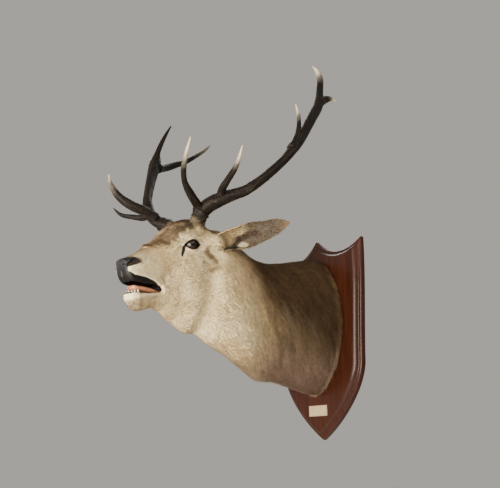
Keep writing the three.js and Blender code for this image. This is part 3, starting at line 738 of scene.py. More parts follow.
class Sheet:
    """A material under construction, with its nodes and its surface shader."""

    def __init__(self, name):
        self.material = bpy.data.materials.new(name)
        self.material.use_nodes = True
        self.tree = self.material.node_tree
        self.tree.nodes.clear()
        self.shader = self.tree.nodes.new("ShaderNodeBsdfPrincipled")
        output = self.tree.nodes.new("ShaderNodeOutputMaterial")
        self.tree.links.new(self.shader.outputs[0], output.inputs[0])

    def feed(self, socket, value):
        """Links a socket to another's output, or sets it to a number, vector or colour."""
        if isinstance(value, Socket):
            self.tree.links.new(value.output, socket)
        elif hasattr(socket, "default_value"):
            if getattr(socket, "type", "") == "RGBA" and len(value) == 3:
                value = tuple(value) + (1.0,)
            socket.default_value = value

    def node(self, kind, settings=None, inputs=None, output=0):
        """Adds a node: its settings first, a ramp's stops among them, then its inputs by name or
        number. Gives the output of that name or number."""
        made = self.tree.nodes.new(kind)
        for key, value in (settings or {}).items():
            if key == "stops":
                ramp = made.color_ramp
                while len(ramp.elements) < len(value):
                    ramp.elements.new(0.5)
                for element, (place, colour) in zip(ramp.elements, value):
                    element.position = place
                    element.color = tuple(colour) + (1.0,)
            else:
                setattr(made, key, value)
        for key, value in (inputs or {}).items():
            self.feed(made.inputs[key], value)
        return Socket(self, made.outputs[output])

    def set(self, **inputs):
        """Sets or links the surface shader's own sockets."""
        for key, value in inputs.items():
            self.feed(self.shader.inputs[key.replace("_", " ")], value)

    def coordinates(self, scale=(1, 1, 1), rotation=(0, 0, 0)):
        """Object coordinates, scaled and then turned."""
        place = self.node("ShaderNodeTexCoord", output="Object")
        return self.node("ShaderNodeMapping", None, {
            "Vector": place, "Rotation": rotation, "Scale": scale})

    def noise(self, vector, scale, detail=3.0, roughness=0.55):
        """Cloudy noise from 0 to 1 over a vector."""
        return self.node("ShaderNodeTexNoise", None, {
            "Vector": vector, "Scale": scale, "Detail": detail, "Roughness": roughness})

    def ramp(self, value, *stops):
        """Colours that follow a value through stops of (place, colour)."""
        return self.node("ShaderNodeValToRGB", {"stops": stops}, {"Fac": value})

    def rise(self, value, low, high):
        """0 where a value is below low, 1 above high and straight between."""
        return self.ramp(value, (low, (0, 0, 0)), (high, (1, 1, 1)))

    def blend(self, factor, a, b, how="MIX"):
        """Two colours mixed, or one laid over the other by multiplying. The node's colour sockets are
        its inputs 6 and 7 and its output 2."""
        return self.node("ShaderNodeMix", {"data_type": "RGBA", "blend_type": how},
                         {0: factor, 6: a, 7: b}, 2)

    def attribute(self, name, output="Fac"):
        """A value or colour that the mesh carries at its points."""
        return self.node("ShaderNodeAttribute", {"attribute_name": name}, output=output)

    def bump(self, height, strength, distance):
        """A normal tilted by a height, with the metres that height 1 stands for."""
        return self.node("ShaderNodeBump", None, {
            "Height": height, "Strength": strength, "Distance": distance})


def head_rotation():
    """Euler angles of a Mapping that turns frame coordinates into the head's axes."""
    return tuple(Matrix(AXES.tolist()).to_euler())


def skin_material():
    """Hide with short flat hair: the coat's colour streaked along the head, and a fine bump that runs
    along it. Bare skin on the nose, lips and lids is darker, smoother and pebbled."""
    s = Sheet("hide")
    bare = s.attribute("bare")
    streaks = s.noise(s.coordinates((60, 420, 420), head_rotation()), 1.0, 4.0)
    patches = s.noise(s.coordinates((26, 60, 60), head_rotation()), 1.0, 2.0)
    shade = s.ramp(streaks * 0.6 + patches * 0.4, (0.32, (0.72, 0.70, 0.68)), (0.68, (1.16, 1.15, 1.12)))
    coat = s.blend(1.0 - bare, s.attribute("coat", "Color"),
                   s.blend(1.0, s.attribute("coat", "Color"), shade, "MULTIPLY"))
    pebbles = s.node("ShaderNodeTexVoronoi", None, {
        "Vector": s.coordinates(), "Scale": 520.0}, output="Distance")
    s.set(Base_Color=coat, Roughness=0.78 - bare * 0.36, Specular_IOR_Level=0.22,
          Normal=s.bump(streaks * (1.0 - bare) + pebbles * bare * 0.5, 0.55, 0.0012))
    return s.material


def hair_material(name):
    """Tufts: the coat's colour with each tuft's own shade in it, and fine mottling over it."""
    s = Sheet(name)
    mottle = s.noise(s.coordinates((90, 90, 90)), 1.0, 3.0)
    shade = s.ramp(mottle, (0.30, (0.80, 0.79, 0.77)), (0.70, (1.14, 1.13, 1.11)))
    coat = s.blend(1.0, s.attribute("coat", "Color"), shade, "MULTIPLY")
    s.set(Base_Color=coat, Roughness=0.68, Specular_IOR_Level=0.22)
    return s.material


def antler_material(finish):
    """Dark bark over grooves, paler on the ridges and pearls, worn to ivory at the tips."""
    s = Sheet("antler bone")
    place = s.coordinates()
    worn = s.attribute("worn")
    ridge = s.attribute("ridge")
    fleck = s.noise(place, 160.0, 5.0, 0.6)
    cloud = s.noise(place, 22.0, 3.0)
    dark, ivory = tuple(finish.antler), tuple(finish.ivory)
    light = tuple(1.6 * d + 0.016 * i for d, i in zip(dark, ivory))
    bark = s.blend(s.rise(ridge * 0.75 + fleck * 0.35, 0.45, 0.95), dark, light)
    tip = s.blend(s.rise(cloud, 0.3, 0.7), ivory, tuple(0.62 * c for c in ivory))
    rub = worn + (fleck - 0.5) * 0.4 + (cloud - 0.5) * 0.3
    bark = s.blend(s.rise(rub, 0.12, 0.45), bark, tuple(0.17 * c for c in ivory))
    rubbed = s.rise(rub, 0.42, 0.74)
    s.set(Base_Color=s.blend(rubbed, bark, tip), Roughness=0.50 - worn * 0.12 + (fleck - 0.5) * 0.25,
          Specular_IOR_Level=0.12,
          Normal=s.bump(fleck * 0.5 + cloud * 0.3, 0.35, 0.0012))
    return s.material


def wood_material(finish):
    """Varnished mahogany: long streaks of grain down the shield, fine dark pores and a soft gloss."""
    s = Sheet("mahogany")
    flow = s.noise(s.coordinates((5, 5, 0.8)), 1.0, 3.0)
    grain = s.noise(s.coordinates((110, 110, 5)), 1.0, 4.0)
    pores = s.noise(s.coordinates((620, 620, 14)), 1.0, 2.0)
    base = tuple(finish.wood)
    deep = tuple(0.42 * c for c in base)
    bright = tuple(min(1.0, 1.75 * c) for c in base)
    colour = s.ramp(flow * 0.5 + grain * 0.5, (0.30, deep), (0.50, base), (0.72, bright))
    specks = s.ramp(pores, (0.34, (0.45, 0.42, 0.40)), (0.46, (1, 1, 1)))
    s.set(Base_Color=s.blend(1.0, colour, specks, "MULTIPLY"), Roughness=0.42, Coat_Weight=0.25,
          Coat_Roughness=0.15, Coat_IOR=1.45, Specular_IOR_Level=0.15,
          Normal=s.bump(grain + pores * 0.4, 0.12, 0.0006))
    return s.material


def label_material(finish):
    """Cream card under old varnish, browned towards its edge."""
    s = Sheet("label card")
    stain = s.noise(s.coordinates(), 60.0, 4.0)
    edge = s.attribute("edge")
    cream = tuple(finish.label)
    aged = s.blend(s.rise(stain, 0.35, 0.75), cream, tuple(0.78 * c for c in cream))
    s.set(Base_Color=s.blend(edge, aged, (0.16, 0.10, 0.05)), Roughness=0.42 + stain * 0.2,
          Normal=s.bump(stain, 0.15, 0.0004))
    return s.material


def eye_material():
    """A glass eye: a wide dark pupil in a brown iris with fine spokes, black round the rim, under a
    clear polish."""
    s = Sheet("eye glass")
    iris, pupil, spoke = s.attribute("iris"), s.attribute("pupil"), s.attribute("spoke")
    spokes = s.noise(s.node("ShaderNodeCombineXYZ", None, {"X": spoke * 26.0, "Y": iris * 3.0}), 1.0, 3.0)
    brown = s.ramp(spokes, (0.3, (0.008, 0.005, 0.003)), (0.6, (0.026, 0.017, 0.009)),
                   (0.8, (0.050, 0.038, 0.020)))
    lens = s.blend(s.rise(iris, 0.80, 0.97), brown, (0.006, 0.004, 0.003))
    s.set(Base_Color=s.blend(pupil, lens, (0.002, 0.002, 0.003)), Roughness=0.35, Coat_Weight=0.45,
          Coat_Roughness=0.02, Coat_IOR=1.5, Specular_IOR_Level=0.1)
    return s.material


def wet_material(name, colours, roughness, scale, depth):
    """Modelled and painted mouth parts: two colours clouded together, finely pitted, half gloss."""
    s = Sheet(name)
    cloud = s.noise(s.coordinates(), scale, 4.0)
    colour = s.ramp(cloud, (0.30, colours[0]), (0.70, colours[1]))
    s.set(Base_Color=colour, Roughness=roughness, Coat_Weight=0.35, Coat_Roughness=0.2,
          Normal=s.bump(cloud, 0.4, depth))
    return s.material


def plain_material(name, colour, roughness):
    """One colour all over, for the floor."""
    s = Sheet(name)
    s.set(Base_Color=colour, Roughness=roughness)
    return s.material


# ---------- the coat's markings, lie and length ----------

def nose_pad(f, side, u):
    """1 on the bare pad of the nose, inside the nostrils and along their upper edges."""
    edge = 222.0 + 0.35 * side + 0.28 * np.maximum(-u, 0.0) + 0.35 * np.maximum(side - 14.0, 0.0)
    front = step(-1.5, 1.5, f - edge)
    nostril = path_distance(f, side, u, NOSTRIL)
    above = step(5.5, 3.5, nostril) * step(-7.0, -3.0, u) * step(200.0, 206.0, f)
    top = step(215.5, 218.5, f) * step(-5.0, -2.0, u)
    return np.maximum.reduce([front, step(2.2, 0.8, nostril), above, top])


# forward and height of the pale upper lip's lower edge
LIP_EDGE = np.array([
    (140, -98), (147, -90), (155, -80), (168, -69), (190, -56), (209, -48.5), (226, -42), (236, -32),
    (245, -24),
], float)


def bare_skin(f, l, u):
    """1 where no hair grows, for the nose pad, for the mouth, and for the lids' edges and tear pit."""
    side = np.abs(l)
    # the edge of the pale upper lip, the lower lip's edge, and the black between them, dark lip skin with
    # painted shade of the open mouth
    upper = np.interp(f, LIP_EDGE[:, 0], LIP_EDGE[:, 1])
    lower = np.interp(f, JAW[:, 0], JAW[:, 1]) - 3.5 - 3.0 * step(195.0, 215.0, f)
    between = step(137.0, 142.0, f) * step(1.2, -1.2, u - upper) * step(-1.2, 1.2, u - lower)
    inside = np.minimum(loft_distance(f, l, u, PALATE), loft_distance(f, l, u, FLOOR))
    mouth = np.maximum(between, step(2.4, 1.0, inside))
    along, across, out = eye_view(f, side, u)
    ball = np.sqrt(along ** 2 + across ** 2 + out ** 2)
    near = step(40.0, 34.0, ball) * (out > 2.0)
    lids = step(LID_RIM + 0.8, LID_RIM - 0.8, opening_distance(along, across))
    lids = lids * step(31.0, 28.0, np.abs(along))
    tear = step(2.0, 0.5, path_distance(f, side, u, TEAR_PIT))
    return nose_pad(f, side, u), mouth, np.maximum(lids * near, tear)


# forward and height of the brown forehead's lower edge
PATCH_EDGE = np.array([
    (-75, 34), (-48, 43.5), (-24, 52.8), (-1, 55.1), (30, 45.7), (52, 32.9), (66, 28.1), (86, 23.1),
    (98, 23.5), (115, 23.5), (130, 20.0),
], float)


def forehead_patch(f, u):
    """1 on the brown, curly forehead, whose lower edge falls from the pedicle to the bridge."""
    edge = np.interp(f, PATCH_EDGE[:, 0], PATCH_EDGE[:, 1])
    ragged = 3.5 * np.sin(f * 0.31 + 1.7 * np.sin(f * 0.11)) + 2.0 * np.sin(f * 0.83)
    return step(-6.0, 6.0, u - edge + ragged) * step(142.0, 134.0, f) * step(-85.0, -55.0, f)


# darker spots painted on the coat: forward and height of the middle, reach along both, and strength
DARK_SPOTS_AND_EAR_SHADE = (
    ((-40.0, -30.0), (11.0, 10.0), 0.60), ((-52.0, -47.0), (12.0, 11.0), 0.60),
    ((-36.0, -22.0), (12.0, 9.0), 0.80), ((-45.0, -38.0), (13.0, 11.0), 0.85),
    ((-58.0, -56.0), (13.0, 12.0), 0.85), ((-56.0, -76.0), (14.0, 9.0), 0.60),
    ((-36.0, -80.0), (12.0, 7.0), 0.55), ((-14.0, -51.0), (9.0, 7.0), 0.45),
    ((-44.0, -11.0), (12.0, 6.0), 0.55), ((-28.0, 30.0), (14.0, 10.0), 0.35),
    ((61.0, 27.0), (6.0, 5.0), 0.45), ((60.0, 17.5), (5.0, 5.0), 0.40),
    ((82.0, 10.0), (8.0, 3.5), 0.40), ((100.0, 10.0), (8.0, 3.0), 0.35),
    ((78.5, -45.0), (3.6, 3.0), 0.75), ((105.0, -71.0), (3.6, 3.0), 0.65),
    # these two are painted shade under and behind the ear's root
    ((-146.0, -44.0), (16.0, 9.0), 0.80), ((-172.0, -62.0), (18.0, 9.0), 0.70),
    ((173.0, -114.0), (14.0, 3.5), 0.60), ((136.0, -138.0), (7.0, 4.0), 0.40),
    ((76.0, -154.0), (12.0, 5.0), 0.40),
)


# y of the frame, and the share of the neck's height at which the dark mane begins
MANE_EDGE = np.array([
    (-400, 1.15), (-335, 0.90), (-316, 0.73), (-307, 0.65), (-281, 0.60), (-247, 0.56), (-206, 0.51),
    (-160, 0.44), (-115, 0.38), (-66, 0.29), (-30, 0.24),
], float)

# depth below the eye's level, and how far forward the tear pit's middle lies there
TEAR_LINE = np.array([(-5.0, 40.0), (0.8, 45.5), (7.6, 49.6), (14.1, 54.0), (18.5, 56.6)])


def neck_colour(points, y, z, wide):
    """Grey-fawn in front, rosy below, and a dark brown mane whose lower edge falls from the nape to the
    shield, all streaked along the fall of the hair."""
    top, bottom = (np.interp(y, NECK[::-1, 0], NECK[::-1, k]) for k in (1, 2))
    level = (z - bottom) / (top - bottom)
    l = points[:, 1]
    drawn = np.column_stack([(0.93 * y + 0.36 * z), (0.36 * y - 0.93 * z), 0.22 * l])
    broad = lattice_noise(drawn / (8.0, 75.0, 8.0), 1.0, 11)
    streak = broad + 0.6 * lattice_noise(drawn / (3.6, 34.0, 3.6), 1.0, 12)
    colour = mix(GREY * 0.88, FAWN * 0.90, np.clip(0.5 + 0.5 * wide + 0.3 * streak, 0, 1))
    pale = step(1.0, 0.45, level) * step(-150.0, -350.0, y)
    colour = mix(colour, BUFF, np.clip(0.46 + 0.60 * streak, 0, 1) * (0.22 + 0.78 * pale))
    rosy = step(0.42, 0.08, level) * step(-420.0, -340.0, y)
    colour = mix(colour, ROSE * 1.15, np.clip(0.85 * rosy + 0.15 * streak, 0, 1) * step(0.6, 0.3, level))
    edge = np.interp(y, MANE_EDGE[:, 0], MANE_EDGE[:, 1])
    mane = step(-0.18, 0.18, level - edge + 0.10 * streak)
    brown = mix(MANE_BROWN, BROWN, np.clip(0.30 + 0.45 * streak, 0, 1))
    colour = mix(colour, brown, 0.93 * mane)
    root = step(-90.0, -40.0, y) * step(0.45, 0.1, level)
    colour = mix(colour, BROWN, 0.30 * root)
    return colour * (1.0 + 0.42 * lattice_noise(drawn / (2.8, 40.0, 2.8), 1.0, 13))[:, None]


def markings(points):
    """The coat's colour at each point: buff cheeks, cream muzzle and chin, fawn bridge, brown brow, pedicles
    and mane, grey-fawn neck, darker spots with painted shade under the ears, and the dark bare skin, whose
    near black in the mouth is partly painted shade."""
    f, l, u = points.T
    side = np.abs(l)
    place = head_to_frame(points)
    y, z = place[:, 1] / MM, place[:, 2] / MM
    wide = lattice_noise(points, 38.0, 3)
    small = lattice_noise(points, 13.0, 5)
    fine = lattice_noise(points / (9.0, 3.0, 3.0), 1.0, 6)
    colour = mix(BUFF, CREAM, np.clip(0.35 + 0.4 * wide + 0.2 * small + 0.15 * fine, 0, 1))
    muzzle = step(120.0, 205.0, f) * step(6.0, -14.0, u)
    colour = mix(colour, CREAM * 1.06, 0.85 * muzzle)
    chin = step(-100.0, -112.0, u) * step(120.0, 200.0, f)
    colour = mix(colour, BUFF * 0.72, 0.9 * chin)
    colour = mix(colour, GREY * 0.48, 0.85 * chin * step(205.0, 228.0, f) * np.clip(0.7 + 0.6 * fine, 0, 1))
    bridge = step(-6.0, 16.0, u - 0.10 * (150.0 - f) - 6.0) * step(235.0, 190.0, f)
    bridge = bridge * step(50.0, 22.0, side - 12.0)
    colour = mix(colour, FAWN, np.clip(bridge * (0.62 + 0.35 * small), 0, 1))
    # darker spots, two of them painted shade under the ear's root
    for (forward, height), (long, high), share in DARK_SPOTS_AND_EAR_SHADE:
        spot = np.hypot((f - forward) / long, (u - height) / high)
        dusk = step(1.35, 0.35, spot + 0.25 * small + 0.15 * fine) * share
        colour = mix(colour, FAWN * 0.50, np.clip(dusk, 0, 1))
    # the pale ring round the lids, and the pale fold in front of the tear pit
    along, across, out = eye_view(f, side, u)
    gap = opening_distance(along, across)
    ring = step(5.0, 8.0, gap) * step(17.0, 11.0, gap) * step(44.0, 38.0, np.abs(along)) * (out > -6.0)
    tear = path_distance(f, side, u, TEAR_PIT)
    ahead = f - np.interp(-u, TEAR_LINE[:, 0], TEAR_LINE[:, 1])
    fold = step(10.0, 5.0, tear) * step(0.0, 3.0, ahead)
    colour = mix(colour, CREAM, 0.75 * np.maximum(ring, fold))
    patch = forehead_patch(f, u)
    tone = np.clip(0.42 + 0.40 * wide + 0.25 * small + 0.35 * fine, 0, 1)
    brown = mix(FOREHEAD_BROWN, BROWN * 0.75, tone)
    brown = mix(brown, BROWN * 0.7, step(112.0, 126.0, f))
    brown = mix(brown, GREY * 0.75, 0.35 * step(10.0, -50.0, f) * np.clip(0.5 + fine, 0, 1))
    colour = mix(colour, brown, np.clip(patch * (0.90 + 0.25 * small + 0.2 * fine), 0, 1))
    pedicle = step(52.0, 80.0, u + 0.2 * side) * step(28.0, 44.0, side)
    colour = mix(colour, PEDICLE_BROWN, 0.85 * pedicle)
    behind = step(-62.0, -82.0, f) * step(-128.0, -104.0, f) * step(20.0, 40.0, u)
    colour = mix(colour, BROWN * 0.8, np.clip(behind * (0.7 + 0.4 * fine), 0, 1))
    above_nose = step(203.0, 214.0, f) * step(-14.0, 2.0, u)
    colour = mix(colour, BROWN, 0.80 * above_nose)
    wing = path_distance(f, side, u, WING)
    colour = mix(colour, GREY * 0.45, step(3.5, 0.5, wing) * step(-27.0, -17.0, u) * 0.85)

    colour = mix(colour, neck_colour(points, y, z, wide), step(-80.0, -170.0, f))
    pad, mouth, lids = bare_skin(f, l, u)
    colour = mix(colour, NOSE_BLACK, pad)
    cavity = step(1.6, -0.4, path_distance(f, side, u, NOSTRIL))
    colour = mix(colour, mix(NOSTRIL_BROWN, NOSE_BLACK, step(-16.0, -5.0, u)), cavity)
    # the mouth near black: dark lip skin and painted shade in its hollow
    colour = mix(colour, MOUTH_SKIN_AND_SHADE, mouth)
    colour = mix(colour, DARK * 0.35, lids)
    return np.clip(colour, 0.0, 1.0), np.maximum.reduce([pad, mouth, lids])


def hair_lie(points, normal):
    """The way the hair points: back from the nose on the face, outwards from the brow, back and down
    the neck, swirled a little from clump to clump, and laid along the skin."""
    f, l, u = points.T
    side = np.sign(l)
    outwards = 0.10 * side * step(40.0, -20.0, f)
    face = np.column_stack([np.full(len(f), -1.0), outwards, np.full(len(f), -0.18)])
    brow = step(30.0, 60.0, u) * step(80.0, 0.0, f)
    face = face + np.column_stack([0 * f, 0.25 * side * brow, 0.35 * brow])
    y = head_to_frame(points)[:, 1] / MM
    backwards = (0.12 + 0.36 * step(-450.0, -240.0, y)) * step(-34.0, -80.0, y)
    body = np.column_stack([0 * y, backwards, np.full(len(y), -0.95)]) @ AXES.T
    lie = face + (body - face) * step(-20.0, -130.0, f)[:, None]
    patch = forehead_patch(f, u) * step(-10.0, 25.0, f)
    whorl = np.column_stack([np.full(len(f), 0.9), 0.35 * side, np.full(len(f), -0.3)])
    lie = lie + (whorl - lie) * patch[:, None]
    throat = step(-120.0, -150.0, u) * step(-120.0, 20.0, f)
    lie = lie + throat[:, None] * frame_turn((0.0, 0.2, -0.5))
    lie = unit(lie - normal * (lie * normal).sum(1)[:, None])
    calm = 1.0 - 0.70 * step(60.0, -100.0, f)
    curls = 1.0 + 2.2 * forehead_patch(f, u)
    swirl = (0.26 * lattice_noise(points, 46.0, 21) + 0.12 * lattice_noise(points, 17.0, 22)) * calm * curls
    cross = np.cross(normal, lie)
    return unit(lie * np.cos(swirl)[:, None] + cross * np.sin(swirl)[:, None])


def hair_length(points, coat):
    """Millimetres of hair at each point: shortest on the muzzle, longer on the cheeks and brow, longest
    on the neck and throat, and shorter again in the tear pit and where the neck meets the shield."""
    f, l, u = points.T
    face = coat.face_hair / MM
    neck = coat.neck_hair / MM
    length = face * (0.45 + 0.75 * step(210.0, 40.0, f))
    length = length + face * 0.8 * forehead_patch(f, u)
    length = length + (neck * 0.75 - face) * step(-60.0, -150.0, f)
    length = length + neck * 0.25 * step(-150.0, -260.0, f)
    low = step(-60.0, -150.0, u) * step(20.0, -80.0, f)
    y = head_to_frame(points)[:, 1] / MM
    pit = path_distance(f, np.abs(l), u, TEAR_PIT)
    length = (length + 0.20 * neck * low) * (1.0 - 0.5 * step(-110.0, -45.0, y))
    return length * (1.0 - 0.65 * step(9.0, 4.0, pit))


# the fringe below the neck: middle and reach along the frame's Y, and how far it hangs
FRINGE_Y, FRINGE_REACH, FRINGE_DROP = -288.0, 30.0, 9.0


def hair_rise(points):
    """Millimetres that the tips stand above the skin: the coat's depth, a little more where the forehead
    curls, and a fringe that hangs below the neck."""
    f, u = points[:, 0], points[:, 2]
    y, z = head_to_frame(points)[:, 1:].T / MM
    hang = step(30.0, 4.0, z - np.interp(y, NECK[::-1, 0], NECK[::-1, 2]))
    fringe = FRINGE_DROP * hang * np.exp(-((y - FRINGE_Y) / FRINGE_REACH) ** 2)
    depth = FACE_COAT_DEPTH * 0.8 + NECK_COAT_DEPTH * 1.5 * step(-95.0, -160.0, f)
    return depth + fringe + 2.2 * forehead_patch(f, u) * step(-40.0, 0.0, f)


# millimetres that a tuft's root is sunk into the skin, and the breadth of its patch of the map
ROOT_DEPTH = 0.6
MAP_PATCH = 0.003


def tuft_mesh(root, normal, lie, length, width, lift, colour, tip_colour, place):
    """Solid tufts, each a slim three-sided spike: a triangle sunk a little into the skin and a tip that
    lies along the coat and rises from the skin by the lift. Points, faces, colours and map of all."""
    across = np.cross(normal, lie)
    base = root - normal * ROOT_DEPTH
    tip = base + (lie * np.cos(lift)[:, None] + normal * np.sin(lift)[:, None]) * length[:, None]
    wide = (0.5 * width)[:, None] * across
    rows = [base - wide, base + wide, base + (0.7 * width)[:, None] * normal, tip]
    points = np.stack(rows, 1)
    start = (np.arange(len(root)) * 4)[:, None]
    tris = (start[:, None] + np.array([(0, 1, 3), (1, 2, 3), (2, 0, 3), (0, 2, 1)])).reshape(-1, 3)
    # the root's three points are painted a fifth darker, painted shade at the hair's roots; the tip takes
    # the paler tip colour
    shades = np.stack([colour * 0.80] * 3 + [tip_colour], 1)
    patch = MAP_PATCH * np.array([(-.5, -.5), (.5, -.5), (0, -.3), (0, .5)])
    uvs = place[:, None] + patch
    return points.reshape(-1, 3), tris, shades.reshape(-1, 3), uvs.reshape(-1, 2)


def scatter(rng, points, faces, weight, count):
    """Random places on four-sided faces, as many to an area as its weight says: the faces' numbers and
    the shares of their four corners."""
    a, b, c, d = (points[faces[:, k]] for k in range(4))
    area = np.linalg.norm(np.cross(c - a, d - b), axis=1) / 2
    chance = np.cumsum(area * weight)
    face = np.searchsorted(chance, rng.random(count) * chance[-1])
    face = np.minimum(face, len(faces) - 1)
    x, y = rng.random(count), rng.random(count)
    share = np.stack([(1 - x) * (1 - y), x * (1 - y), x * y, (1 - x) * y], 1)
    return face, share


def on_faces(face, share, faces, values):
    """Values of the faces' corners, mixed by their shares."""
    return np.einsum("nk,nk...->n...", share, values[faces[face]])


# ---------- operators: one for each piece or group of pieces ----------

class STAG_OT_stage(bpy.types.Operator):
    """Pale floor, soft studio light and the camera"""
    bl_idname = "stag.stage"
    bl_label = "Stage"

    FLOOR_Z, FLOOR_HALF = -1.6, 14.0
    WORLD_COLOUR, WORLD_STRENGTH = (0.85, 0.81, 0.74, 1.0), 0.52
    # name, place, size, power and colour of the lights, which all face one place
    LIGHTS = (
        ("key", (1.15, -2.30, -0.30), 1.7, 170, (1.0, 0.93, 0.82)),
        ("front", (-0.7, -2.9, 0.5), 1.4, 58, (1.0, 0.96, 0.90)),
        ("catch", (0.81, -0.04, 1.05), 0.07, 1.4, (1.0, 0.96, 0.90)),
        ("rim", (-1.8, 0.9, 2.4), 1.2, 30, (1.0, 0.97, 0.93)),
        ("wood", (2.2, -0.2, 1.0), 0.5, 8, (1.0, 0.95, 0.88)),
    )
    LIGHT_AIM = (0.05, -0.35, 0.2)
    CAMERA_PLACE = (1.8103, -1.4820, -0.3361)
    CAMERA_AZIMUTH, CAMERA_PITCH, CAMERA_ROLL = (math.radians(a) for a in (56.5615, 15.8605, -0.581))
    LENS, SENSOR = 50.71, 36.0

    def execute(self, context):
        """A flat square of floor, an even sky, and square lights turned to the place that they face."""
        corners = ((-1, -1), (1, -1), (1, 1), (-1, 1))
        mesh = bpy.data.meshes.new("floor")
        mesh.from_pydata([(x * self.FLOOR_HALF, y * self.FLOOR_HALF, self.FLOOR_Z) for x, y in corners],
                         [], [(0, 1, 2, 3)])
        floor = bpy.data.objects.new("floor", mesh)
        context.scene.collection.objects.link(floor)
        mesh.materials.append(plain_material("floor", (0.72, 0.71, 0.69), 0.9))
        world = bpy.data.worlds.new("studio")
        context.scene.world = world
        world.use_nodes = True
        world.node_tree.nodes["Background"].inputs[0].default_value = self.WORLD_COLOUR
        world.node_tree.nodes["Background"].inputs[1].default_value = self.WORLD_STRENGTH
        for name, place, size, power, colour in self.LIGHTS:
            light = bpy.data.lights.new(name, "AREA")
            light.size, light.energy, light.color = size, power, colour
            lamp = bpy.data.objects.new(name, light)
            lamp.location = place
            aim = Vector(self.LIGHT_AIM) - Vector(place)
            lamp.rotation_euler = aim.to_track_quat("-Z", "Y").to_euler()
            context.scene.collection.objects.link(lamp)
        self.camera(context)
        return {"FINISHED"}

    def camera(self, context):
        """Looks along its azimuth and pitch, rolled about that way, with its own right and up."""
        a, e, r = self.CAMERA_AZIMUTH, self.CAMERA_PITCH, self.CAMERA_ROLL
        ahead = Vector((-math.sin(a) * math.cos(e), math.cos(a) * math.cos(e), math.sin(e)))
        level = Vector((math.cos(a), math.sin(a), 0.0))
        rise = level.cross(ahead)
        right = level * math.cos(r) + rise * math.sin(r)
        up = rise * math.cos(r) - level * math.sin(r)
        data = bpy.data.cameras.new("camera")
        data.lens, data.sensor_width = self.LENS, self.SENSOR
        camera = bpy.data.objects.new("camera", data)
        turn = Matrix((right, up, -ahead)).transposed().to_4x4()
        camera.matrix_world = Matrix.Translation(self.CAMERA_PLACE) @ turn
        context.scene.collection.objects.link(camera)
        context.scene.camera = camera


CREASE_ANGLE = math.radians(40.0)


